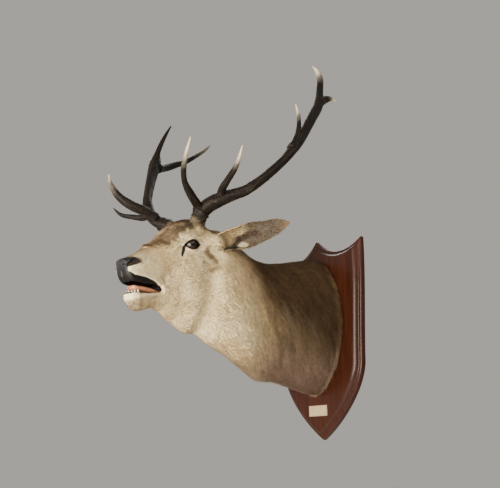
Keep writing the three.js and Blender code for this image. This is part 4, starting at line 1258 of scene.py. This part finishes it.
class STAG_OT_shield(bpy.types.Operator):
    """The varnished shield with its moulded edge"""
    bl_idname = "stag.shield"
    bl_label = "Shield"

    HALF_HEIGHT, CORNER_X, CORNER_Z, HIP_X, HIP_Z = 326.0, 221.0, 293.0, 201.0, -98.0
    THICKNESS = 32.0
    POINTS_PER_RUN = 44
    # shares of the moulding's last ring at which further rings close the flat front
    FRONT_RINGS = (0.75, 0.5, 0.25, 0.02)
    # depth in front of the wall and distance in from the edge, round the ogee moulding
    PROFILE = [
        (0.0, 2.6), (1.2, 0.9), (3.0, 0.2), (5.0, 0.0), (12.0, 0.0), (14.5, 0.5), (16.6, 1.8), (17.9, 3.6),
        (18.3, 5.4), (18.3, 9.6), (18.8, 11.3), (20.2, 12.3), (23.0, 13.6), (26.0, 15.6), (28.6, 18.0),
        (30.4, 20.6), (31.5, 23.6), (31.9, 26.4), (32.0, 29.0),
    ]

    def halves(self):
        """Control points of the three curves of one half, from the top peak to the bottom point."""
        h, cx, cz, hx, hz = self.HALF_HEIGHT, self.CORNER_X, self.CORNER_Z, self.HIP_X, self.HIP_Z
        return np.array([
            [(0, h), (0.25 * cx, 0.84 * h), (0.6 * cx, 0.76 * h), (cx, cz)],
            [(cx, cz), (1.01 * cx, 0.58 * cz), (0.93 * cx, 0.1 * cz), (hx, hz)],
            [(hx, hz), (0.96 * hx, 1.8 * hz), (0.47 * hx, -0.84 * h), (0, -h)],
        ])

    def runs(self, inset, dense=200):
        """Six runs round the shield, each cubic curve moved inwards along its own normals."""
        t = np.linspace(0.0, 1.0, dense)[:, None]
        out = []
        for a, b, c, d in self.halves():
            p = a * (1 - t) ** 3 + 3 * b * t * (1 - t) ** 2 + 3 * c * t * t * (1 - t) + d * t ** 3
            slope = unit((b - a) * (1 - t) ** 2 + 2 * (c - b) * t * (1 - t) + (d - c) * t * t)
            out.append(p + inset * np.column_stack([slope[:, 1], -slope[:, 0]]))
        return out + [run[::-1] * (-1, 1) for run in out[::-1]]

    def crossing(self, a, b):
        """Where the end of run a first crosses the start of run b: numbers of both pieces and the
        point, or the end of a if they only meet."""
        r, s = np.diff(a, axis=0)[:, None], np.diff(b, axis=0)[None]
        apart = b[None, :-1] - a[:-1, None]
        turn = r[..., 0] * s[..., 1] - r[..., 1] * s[..., 0]
        turn = np.where(np.abs(turn) < 1e-12, 1e-12, turn)
        t = (apart[..., 0] * s[..., 1] - apart[..., 1] * s[..., 0]) / turn
        v = (apart[..., 0] * r[..., 1] - apart[..., 1] * r[..., 0]) / turn
        hits = np.argwhere((t >= 0) & (t <= 1) & (v >= 0) & (v <= 1))
        if not len(hits):
            return len(a) - 1, 0, a[-1]
        i, j = hits[-1]
        return i, j, a[i] + t[i, j] * r[i, 0]

    def outline(self, inset, per_run):
        """The shield's edge moved inwards, its corners kept sharp, with as many points on each run."""
        runs = self.runs(inset)
        joints = [self.crossing(run, runs[(k + 1) % 6]) for k, run in enumerate(runs)]
        rows = []
        for k, run in enumerate(runs):
            start, end = joints[k - 1], joints[k]
            kept = np.vstack([start[2], run[start[1] + 1:end[0] + 1], end[2]])
            along = np.concatenate([[0.0], np.cumsum(np.linalg.norm(np.diff(kept, axis=0), axis=1))])
            even = np.linspace(0.0, along[-1], per_run + 1)[:-1]
            rows.append(np.column_stack([np.interp(even, along, column) for column in kept.T]))
        return np.concatenate(rows)

    def execute(self, context):
        """Rings of the outline, each moved in and forward as the profile says, and then shrunk to the
        middle to close the front."""
        rings = [(depth, self.outline(inset, self.POINTS_PER_RUN)) for depth, inset in self.PROFILE]
        last = rings[-1][1]
        rings += [(self.THICKNESS, last * share) for share in self.FRONT_RINGS]
        points = np.concatenate([np.column_stack([ring[:, 0], np.full(len(ring), -depth), ring[:, 1]])
                                 for depth, ring in rings]) * MM
        faces = turned(shell(len(rings), len(last)))
        shield = add_piece("shield", points, faces, ("plaque",))
        shield.data.materials.append(wood_material(context.scene.stag_finish))
        shade_by_angle(shield.data)
        return {"FINISHED"}


def shade_by_angle(mesh):
    """Marks the edges that turn by more than the crease angle as sharp, so that they shade crisply."""
    mesh.update()
    mesh.set_sharp_from_angle(angle=CREASE_ANGLE)


class STAG_OT_label(bpy.types.Operator):
    """The blank label"""
    bl_idname = "stag.label"
    bl_label = "Label"

    WIDTH, HEIGHT, Z, CORNER = 92.0, 34.0, -236.0, 1.6
    # depth in front of the shield, distance in from the edge, and how far the card is browned there
    PROFILE = ((0.0, 0.0, 1.0), (0.8, 0.0, 1.0), (1.1, 0.15, 1.0), (1.2, 0.5, 1.0), (1.2, 1.3, 0.55),
               (1.2, 3.0, 0.0))

    def execute(self, context):
        """A rectangle with quarter circles at its corners, shrunk and moved forward by the profile."""
        cx, cz = self.WIDTH / 2 - self.CORNER, self.HEIGHT / 2 - self.CORNER
        corner = np.linspace(0, math.pi / 2, 5)
        loop = np.concatenate([
            np.column_stack([sx * cx + self.CORNER * np.cos(corner + k * math.pi / 2),
                             sz * cz + self.CORNER * np.sin(corner + k * math.pi / 2)])
            for k, (sx, sz) in enumerate([(1, 1), (-1, 1), (-1, -1), (1, -1)])])
        rings = []
        for depth, inset, _brown in self.PROFILE:
            x, z = (loop * (1 - 2 * inset / self.WIDTH, 1 - 2 * inset / self.HEIGHT)).T
            y = np.full(len(loop), -STAG_OT_shield.THICKNESS - depth)
            rings.append(np.column_stack([x, y, z + self.Z]))
        edge = np.repeat([brown for _depth, _inset, brown in self.PROFILE], len(loop))
        label = add_piece("label", np.concatenate(rings) * MM, shell(len(rings), len(loop)),
                          ("label_plate",), values={"edge": edge})
        label.data.materials.append(label_material(context.scene.stag_finish))
        shade_by_angle(label.data)
        return {"FINISHED"}


class STAG_OT_skin(bpy.types.Operator):
    """One skin over neck, head, jaw, nose and ears, and the coat of tufts that grows on it"""
    bl_idname = "stag.skin"
    bl_label = "Skin and Coat"

    # no tufts grow where the skin is barer than this, or fewer millimetres from the shield's face
    BARE_LIMIT, MARGIN = 0.25, 3.0
    # spread of the tufts' tone and of their way along the skin
    TONE_SPREAD, STRAY = 0.09, 0.08
    # millimetres in front of the shield's face at which tufts bend flat, and the depth that takes them
    BEND, BEND_DEPTH = 6.0, 5.0

    def execute(self, context):
        """The surface where the skin's distance is nought, with both ears added to the same mesh."""
        points, quads, normals = skin_shape()
        if not len(points):
            raise RuntimeError("the skin has no surface")
        colours, bare = markings(points)
        ears = [ear_shape(side) for side in (1, -1)]
        all_points, all_quads, all_ends = [points], [quads], []
        all_colours, all_bare = [colours], [bare]
        start = len(points)
        for p, q, ends, s, t, inner in ears:
            all_points.append(p)
            all_quads.append(q + start)
            all_ends += [[i + start for i in face] for face in ends]
            all_colours.append(ear_colour(s, t, inner, p))
            all_bare.append(np.zeros(len(p)))
            start += len(p)
        skin = add_piece("skin", head_to_frame(np.concatenate(all_points)),
                         [np.concatenate(all_quads), all_ends],
                         ("neck", "head", "lower_jaw", "nose", "ear_left", "ear_right"),
                         colours=np.concatenate(all_colours), values={"bare": np.concatenate(all_bare)})
        skin.data.materials.append(skin_material())
        coat = context.scene.stag_coat
        self.body_coat(coat, points, quads, normals, colours, bare)
        self.ear_coat(coat, ears)
        return {"FINISHED"}

    def body_coat(self, coat, points, quads, normals, colours, bare):
        """Neck and head tufts, cut into pieces by their place along the body. A tuft's place on the map
        is its angle round the body and its share of the piece's length."""
        rng = np.random.default_rng(coat.seed)
        centre = points[quads].mean(1)
        place = head_to_frame(centre)
        hidden = place[:, 1] > (SHIELD_FACE_Y - self.MARGIN) * MM
        open_skin = np.where((bare[quads].max(1) > self.BARE_LIMIT) | hidden, 0.0, 1.0)
        is_neck = step(-20.0, -100.0, centre[:, 0])
        for name, share, count, bands, slot in (
                ("neck", is_neck, coat.neck_tufts, 6, "neck_coat"),
                ("head", 1.0 - is_neck, coat.head_tufts, 2, "face_coat")):
            finer = 1.0 + 1.6 * step(60.0, 190.0, centre[:, 0])
            face, mixing = scatter(rng, points, quads, open_skin * share * finer, count)
            root = on_faces(face, mixing, quads, points)
            normal = unit(on_faces(face, mixing, quads, normals))
            colour = on_faces(face, mixing, quads, colours)
            length = hair_length(root, coat)
            rise = hair_rise(root)
            far = step(-60.0, -150.0, root[:, 0])
            theta = np.arctan2(root[:, 1], root[:, 2] + 60.0 + 0.25 * root[:, 0]) / (2 * math.pi) + 0.5
            for k, pick in enumerate(np.array_split(np.argsort(root[:, 0]), bands)):
                n = len(pick)
                size = length[pick] * rng.uniform(0.7, 1.25, n)
                wide = (0.75 + 0.30 * far[pick]) * rng.uniform(0.7, 1.3, n)
                lift = np.arcsin(np.clip(rise[pick] * rng.uniform(0.45, 1.0, n) / size, 0.0, 0.75))
                lie = hair_lie(root[pick], normal[pick])
                stray = rng.normal(0.0, self.STRAY, n)
                lie = unit(lie + np.cross(normal[pick], lie) * stray[:, None])
                tone = rng.normal(1.0, self.TONE_SPREAD, n)
                shade = np.clip(colour[pick] * tone[:, None], 0, 1)
                # each tip painted up to a quarter paler, painted light on the coat's tips
                light = np.clip(shade * rng.uniform(1.0, 1.25, n)[:, None], 0, 1)
                span = root[pick, 0]
                place = np.column_stack([0.02 + 0.96 * theta[pick],
                                         0.02 + 0.96 * (span - span.min()) / np.ptp(span)])
                mesh = tuft_mesh(root[pick], normal[pick], lie, size, wide, lift, shade, light, place)
                self.add_coat(f"coat_{name}_{k + 1}", mesh, slot)

    def ear_coat(self, coat, ears):
        """Short hair along the ears, a fringe on their edges and longer hair inside near the root."""
        rng = np.random.default_rng(coat.seed + 1)
        for (points, quads, _ends, s, t, inner), side, name in zip(ears, (1, -1), ("left", "right")):
            centre_s, centre_in = s[quads].mean(1), inner[quads].mean(1)
            edge = step(0.80, 0.97, np.abs(t[quads]).mean(1))
            weight = 1.0 + 1.4 * edge - 0.55 * centre_in * step(0.2, 0.5, centre_s)
            weight = np.where(centre_s < 0.06, 0.0, weight)
            face, mixing = scatter(rng, points, quads, weight, coat.ear_tufts)
            root = on_faces(face, mixing, quads, points)
            share, across = on_faces(face, mixing, quads, s), on_faces(face, mixing, quads, t)
            inside = on_faces(face, mixing, quads, inner.astype(float)) > 0.5
            a, b, c, d = (points[quads[:, k]] for k in range(4))
            normal = unit(np.cross(c - a, d - b))[face]
            ahead = ear_frame(np.clip(share + 0.03, 0, 1))[0]
            behind = ear_frame(np.clip(share - 0.03, 0, 1))[0]
            lie = unit((ahead - behind) * (1, side, 1))
            n = len(root)
            rim = step(0.72, 0.96, np.abs(across))
            lie = lie + np.array((0.0, 0.0, 1.0)) * (0.55 * rim * np.sign(across))[:, None]
            lie = unit(lie - normal * (lie * normal).sum(1)[:, None])
            length = 8.0 + 2.0 * rim + np.where(inside, 7.0 * step(0.50, 0.30, share), 0.0)
            length = length * step(1.25, 0.75, share) * rng.uniform(0.7, 1.3, n)
            wide = rng.uniform(0.55, 0.95, n)
            lift = (0.12 + 0.10 * inside) * rng.uniform(0.5, 1.5, n)
            colour = ear_colour(share, across, inside, root)
            colour = np.clip(colour * rng.normal(1.0, self.TONE_SPREAD, n)[:, None], 0, 1)
            # tips painted a fifth paler, painted light on the coat's tips
            tips = np.clip(colour * 1.2, 0, 1)
            place = np.column_stack([0.02 + 0.96 * share, 0.25 + 0.22 * across + 0.5 * inside])
            mesh = tuft_mesh(root, normal, lie, length, wide, lift, colour, tips, place)
            self.add_coat(f"coat_ear_{name}", mesh, "ear_coat")

    def add_coat(self, name, mesh, slot):
        """Adds tufts, and lays flat on the shield what would reach into it: past a limit, a point's
        way onwards is pressed into the last few millimetres, so that no two lie in one plane."""
        points, faces, shades, uvs = mesh
        points = head_to_frame(points)
        past = np.maximum(points[:, 1] - (SHIELD_FACE_Y - self.BEND) * MM, 0.0)
        points[:, 1] -= past - self.BEND_DEPTH * MM * (1.0 - np.exp(-past / (self.BEND_DEPTH * MM)))
        piece = add_piece(name, points, faces, colours=shades, uvs=uvs)
        piece.data.materials.append(hair_material(name.replace("_", " ")))


# share of the ear's length, place across it, and reach of the painted shade that runs as a dark streak from
# the ear's lower root, where the head shades it, to the hollow of its cup
EAR_SHADE_STREAK = ((0.30, -0.98, 0.05), (0.325, -0.40, 0.045), (0.40, -0.02, 0.050), (0.49, 0.05, 0.060),
              (0.545, 0.02, 0.065))


def ear_colour(s, t, inner, points):
    """Grey-fawn ears: browner along the back; inside, a buff root, a dark streak of painted shade that
    climbs from the lower edge, where the head shades it, to the shaded hollow at the middle, and a pale tuft
    below it."""
    cloud = lattice_noise(points, 11.0, 41)
    fine = lattice_noise(points / (9.0, 3.0, 3.0), 1.0, 42)
    back = mix(GREY * 0.62, FAWN * 0.65, np.clip(0.55 + 0.4 * cloud - 0.5 * np.abs(t), 0, 1))
    warm = np.clip(0.5 + 0.5 * cloud + 0.3 * fine, 0, 1)
    front = mix(GREY * (0.28, 0.30, 0.34), FAWN * (0.30, 0.33, 0.39), warm)
    front = mix(front, BUFF * 0.60, 0.55 * step(0.80, 0.97, np.abs(t)))
    root = step(0.52, 0.40, s) * step(-0.05, 0.25, t)
    front = mix(front, BUFF, 0.85 * np.maximum(root, step(0.37, 0.29, s) * step(-0.6, -0.2, t)))
    tuft = step(1.15, 0.6, np.hypot((s - 0.395) / 0.08, (t + 0.50) / 0.25))
    front = mix(front, CREAM * 0.85, np.clip(tuft, 0, 1))
    place = np.column_stack([s, 0.25 * t])
    # the streak is painted shade: the head's shadow under the ear's root and the shade in its cup
    for (s_1, t_1, r_1), (s_2, t_2, r_2) in zip(EAR_SHADE_STREAK, EAR_SHADE_STREAK[1:]):
        start, way = np.array((s_1, 0.25 * t_1)), np.array((s_2 - s_1, 0.25 * (t_2 - t_1)))
        share = np.clip(((place - start) @ way) / (way @ way), 0.0, 1.0)
        gap = np.linalg.norm(place - start - share[:, None] * way, axis=1) / (r_1 + share * (r_2 - r_1))
        front = mix(front, DARK * 1.1, np.clip(step(1.0, 0.45, gap) * (0.85 + 0.3 * cloud), 0, 1))
    colour = np.where(np.asarray(inner, bool)[:, None], front, back)
    return np.clip(mix(colour, FAWN * 0.8, 0.5 * step(0.78, 1.0, s)), 0, 1)


class STAG_OT_eyes(bpy.types.Operator):
    """Two glass eyes"""
    bl_idname = "stag.eyes"
    bl_label = "Eyes"

    # in shares of the eye's radius: how far its clear front bulges, the iris, and the long pupil
    BULGE, IRIS, PUPIL = 0.035, 0.66, (0.36, 0.20)
    POLE = 0.012

    def execute(self, context):
        """Rings about the line of sight: the angle from it gives the depth, and the radius swells by the
        bulge in front."""
        material = eye_material()
        rings, sides = 60, 72
        polar = np.linspace(self.POLE, math.pi - self.POLE, rings)[:, None]
        angle = ring_angles(sides)
        out = np.cos(polar) * np.ones_like(angle)
        along, across = np.sin(polar) * np.cos(angle), np.sin(polar) * np.sin(angle)
        bulge = 1.0 + self.BULGE * step(0.86, 0.97, out)
        iris = np.clip(np.hypot(along, across) / self.IRIS, 0, 1.3) + (out < 0) * 1.0
        pupil = step(1.12, 0.9, np.hypot(along / self.PUPIL[0], across / self.PUPIL[1])) * (out > 0)
        spoke = np.arctan2(across, along) / (2 * math.pi) + 0.5
        values = {"iris": iris.ravel(), "pupil": pupil.ravel(),
                  "spoke": (spoke * np.ones_like(iris)).ravel()}
        local = np.stack([along, across, out], -1).reshape(-1, 3) * bulge.reshape(-1, 1) * EYE_RADIUS
        turn = np.array([SLIT, LID_UP, GAZE])
        inwards = shell(rings, sides)
        for side, name in ((1, "left"), (-1, "right")):
            points = (local @ turn + np.array(EYE_PLACE)) * (1, side, 1)
            faces = turned(inwards) if np.linalg.det(turn) * side > 0 else inwards
            eye = add_piece(f"eye_{name}_glass", head_to_frame(points), faces,
                            (f"eye_{name}",), values=values)
            eye.data.materials.append(material)
        return {"FINISHED"}


class STAG_OT_mouth(bpy.types.Operator):
    """Tongue and front teeth"""
    bl_idname = "stag.mouth"
    bl_label = "Mouth"

    GROOVE_DEPTH, GROOVE_WIDTH = 1.8, 3.2
    # the teeth's places across the jaw, and the tip of the arch that they stand on
    TEETH = (-18.5, -14.0, -9.0, -3.2, 3.2, 9.0, 14.0, 18.5)
    ARCH_FORWARD, ARCH_UP = 235.0, -92.7
    TOOTH_HEIGHT, TOOTH_LEAN = 10.5, 2.0

    def execute(self, context):
        """The tongue: superellipses along the forward axis that shrink at its tip, less a groove."""
        rings, sides = 70, 48
        forward = np.linspace(TONGUE[0, 0], TONGUE[-1, 0], rings)
        top, level, bottom, half, square = hermite(forward, TONGUE).T
        end = np.sqrt(np.clip((TONGUE[-1, 0] + 1.0 - forward) / 12.0, 0.02, 1.0))
        angle = ring_angles(sides)
        c, s = np.cos(angle), np.sin(angle)
        power = (2.0 / square)[:, None]
        x = (half * end)[:, None] * np.sign(c) * np.abs(c) ** power
        reach = np.where(s > 0, (top - level)[:, None], (level - bottom)[:, None]) * end[:, None]
        groove = self.GROOVE_DEPTH * np.exp(-(x / self.GROOVE_WIDTH) ** 2) * (s > 0)
        z = level[:, None] + reach * np.sign(s) * np.abs(s) ** power - groove
        points = np.stack([forward[:, None] * np.ones_like(x), x, z], -1).reshape(-1, 3)
        points[:, 2] += 0.5 * lattice_noise(points, 4.5, 51)
        tongue = add_piece("tongue_modelled", head_to_frame(points), shell(rings, sides),
                           ("tongue",))
        tongue.data.materials.append(wet_material(
            "tongue", ((0.40, 0.13, 0.07), (0.60, 0.26, 0.14)), 0.42, 130.0, 0.0012))
        self.teeth()
        return {"FINISHED"}

    def teeth(self):
        """Eight spade-shaped front teeth along a parabola: each a loft that widens from a round root to
        a thin flat edge."""
        rings, sides = 14, 20
        s = np.linspace(0.0, 1.0, rings)[:, None]
        angle = ring_angles(sides)
        wide = 1.5 + 0.7 * step(0.0, 0.8, s)
        thick = 1.7 - 1.2 * s ** 1.5
        shrink = np.sqrt(np.clip((1.02 - s) / 0.12, 0.05, 1.0))
        local = np.stack([thick * shrink * np.sin(angle) + self.TOOTH_LEAN * s,
                          wide * shrink * np.cos(angle),
                          self.TOOTH_HEIGHT * s + 0 * angle], -1).reshape(-1, 3)
        tooth_quads, tooth_ends = turned(shell(rings, sides))
        points, quads, ends = [], [], []
        for i, across in enumerate(self.TEETH):
            swing = math.atan(0.104 * across)
            cs, sn = math.cos(swing), math.sin(swing)
            place = (self.ARCH_FORWARD - 0.052 * across ** 2, across, self.ARCH_UP - 0.004 * across ** 2)
            points.append(np.column_stack([local[:, 0] * cs - local[:, 1] * sn,
                                           local[:, 0] * sn + local[:, 1] * cs, local[:, 2]]) + place)
            quads.append(tooth_quads + i * len(local))
            ends += [[k + i * len(local) for k in face] for face in tooth_ends]
        teeth = add_piece("teeth", head_to_frame(np.concatenate(points)), [np.concatenate(quads), ends])
        teeth.data.materials.append(wet_material(
            "teeth", ((0.62, 0.54, 0.40), (0.82, 0.77, 0.66)), 0.32, 300.0, 0.0003))


class STAG_OT_antlers(bpy.types.Operator):
    """Both antlers, with burr, grooves, pearls and worn tips"""
    bl_idname = "stag.antlers"
    bl_label = "Antlers"

    # how far the tips that stay darker are rubbed, where 1 is down to the ivory
    RUBBED = {("right", "brow"): 0.75, ("right", "bez"): 0.2, ("right", "top"): 0.5,
              ("right", "point"): 0.6, ("right", "beam"): 0.0}
    # millimetres that pearls and the burr stand out, the burr's place and width along the beam, and the
    # groove's share of the radius
    PEARL_HEIGHT, BURR_HEIGHT, BURR_PLACE, BURR_WIDTH = 2.4, {"left": 6.0, "right": 4.0}, 17.0, 5.5
    GROOVE_SHARE = 0.035

    def execute(self, context):
        """Sweeps each beam and tine by itself. A beam also stands for trey and top where they have no
        path of their own."""
        material = antler_material(context.scene.stag_finish)
        for name, side, antler in (("left", 1, LEFT_ANTLER), ("right", -1, RIGHT_ANTLER)):
            for index, (part, path) in enumerate(antler.items()):
                nodes = [part] if part in ("brow", "bez", "trey", "top") else []
                if part == "beam":
                    nodes = ["beam"] + [node for node in ("trey", "top") if node not in antler]
                self.tine(name, side, part, index, path, nodes, material)
        return {"FINISHED"}

    def tine(self, name, side, part, index, stations, nodes, material):
        """One beam or tine: its radius swells at its root, is grooved along its length and beaded by
        pearls, which fade towards the smooth tip."""
        stations = [(forward, side * across, up, radius) for across, forward, up, radius in stations]
        span = sum(np.linalg.norm(np.subtract(a[:3], b[:3])) for a, b in zip(stations, stations[1:]))
        path, along = spline(stations, max(60, int(span / 2.0)))
        length = along[-1]
        sides = 60 if part == "beam" else 40
        seed = 60 + 7 * index + (side > 0)

        angle = ring_angles(sides)
        radius, place = path[:, 3][:, None], along[:, None]
        cs, sn = np.cos(angle), np.sin(angle)
        ones = np.ones_like(place * cs)
        rough = step(length, 0.35 * length, place)
        drum = np.stack([place * 0.05 * ones, 5.0 * cs * ones, 5.0 * sn * ones], -1).reshape(-1, 3)
        grooves = lattice_noise(drum, 1.0, seed) + 0.5 * lattice_noise(drum * (1.6, 2.3, 2.3), 1.0, seed + 1)
        grooves = grooves.reshape(ones.shape)
        bead = np.stack([place * ones, radius * cs * 1.2, radius * sn * 1.2], -1).reshape(-1, 3)
        pearls = np.clip(lattice_noise(bead, 3.4, seed + 2).reshape(ones.shape) - 0.25, 0, 1)
        low = step(0.55 * length, 0.05 * length, place) if part == "beam" else rough * 0.4
        shape = radius * (1.0 + self.GROOVE_SHARE * grooves * rough) + self.PEARL_HEIGHT * pearls * low
        if part == "beam":
            burr = np.exp(-((place - self.BURR_PLACE) / self.BURR_WIDTH) ** 2)
            knobs = 1.0 + 0.32 * lattice_noise(drum * (0.4, 3.0, 3.0), 1.0, seed + 3).reshape(ones.shape)
            shape = shape + self.BURR_HEIGHT[name] * burr * knobs
            shape = shape * (1.0 + 0.06 * np.exp(-(place / 8.0) ** 2))
        else:
            shape = shape * (1.0 + 0.30 * np.exp(-(place / (1.5 * radius[0, 0])) ** 2))
        tip = np.sqrt(np.clip((length - place) / 3.0, 0.02, 1.0))
        ridge = (0.5 + 0.5 * np.clip(grooves, -1, 1) * rough + 0.8 * pearls * low).ravel()

        points, faces = sweep(path, sides, shape * tip)
        rubbed_length = 0.11 * length if part == "beam" else 0.30 * length + 30.0
        worn = 1.0 - np.repeat(length - along, sides) / rubbed_length
        worn = np.clip(worn, 0, 1) * self.RUBBED.get((name, part), 1.0)
        replaced = [f"antler_{name}_{node}" for node in nodes]
        piece = add_piece(f"antler_{name}_{part}_bone", head_to_frame(points), faces, replaced,
                          values={"worn": worn, "ridge": np.clip(ridge, 0, 1)})
        piece.data.materials.append(material)


class STAG_PT_panel(bpy.types.Panel):
    """Lists the stag's settings and the steps that build it"""
    bl_idname = "STAG_PT_panel"
    bl_label = "Stag Head Mount"
    bl_space_type = "VIEW_3D"
    bl_region_type = "UI"
    bl_category = "Stag"

    def draw(self, context):
        for group in (context.scene.stag_coat, context.scene.stag_finish):
            for name in group.__annotations__:
                self.layout.prop(group, name)
        for operator in OPERATORS:
            self.layout.operator(operator.bl_idname)


OPERATORS = (STAG_OT_stage, STAG_OT_shield, STAG_OT_label, STAG_OT_skin, STAG_OT_eyes, STAG_OT_mouth,
             STAG_OT_antlers)
GROUPS = (StagCoat, StagFinish)


def register():
    """Makes the settings, operators and panel known, and hangs the settings on the scene."""
    for cls in (*GROUPS, *OPERATORS, STAG_PT_panel):
        bpy.utils.register_class(cls)
    bpy.types.Scene.stag_coat = bpy.props.PointerProperty(type=StagCoat)
    bpy.types.Scene.stag_finish = bpy.props.PointerProperty(type=StagFinish)


def unregister():
    """Takes them away again in the opposite order."""
    del bpy.types.Scene.stag_finish
    del bpy.types.Scene.stag_coat
    for cls in (STAG_PT_panel, *reversed(OPERATORS), *reversed(GROUPS)):
        bpy.utils.unregister_class(cls)


def main():
    """Builds everything in order."""
    register()
    bpy.ops.stag.stage()
    bpy.ops.stag.shield()
    bpy.ops.stag.label()
    bpy.ops.stag.skin()
    bpy.ops.stag.eyes()
    bpy.ops.stag.mouth()
    bpy.ops.stag.antlers()


if __name__ == "__main__":
    main()
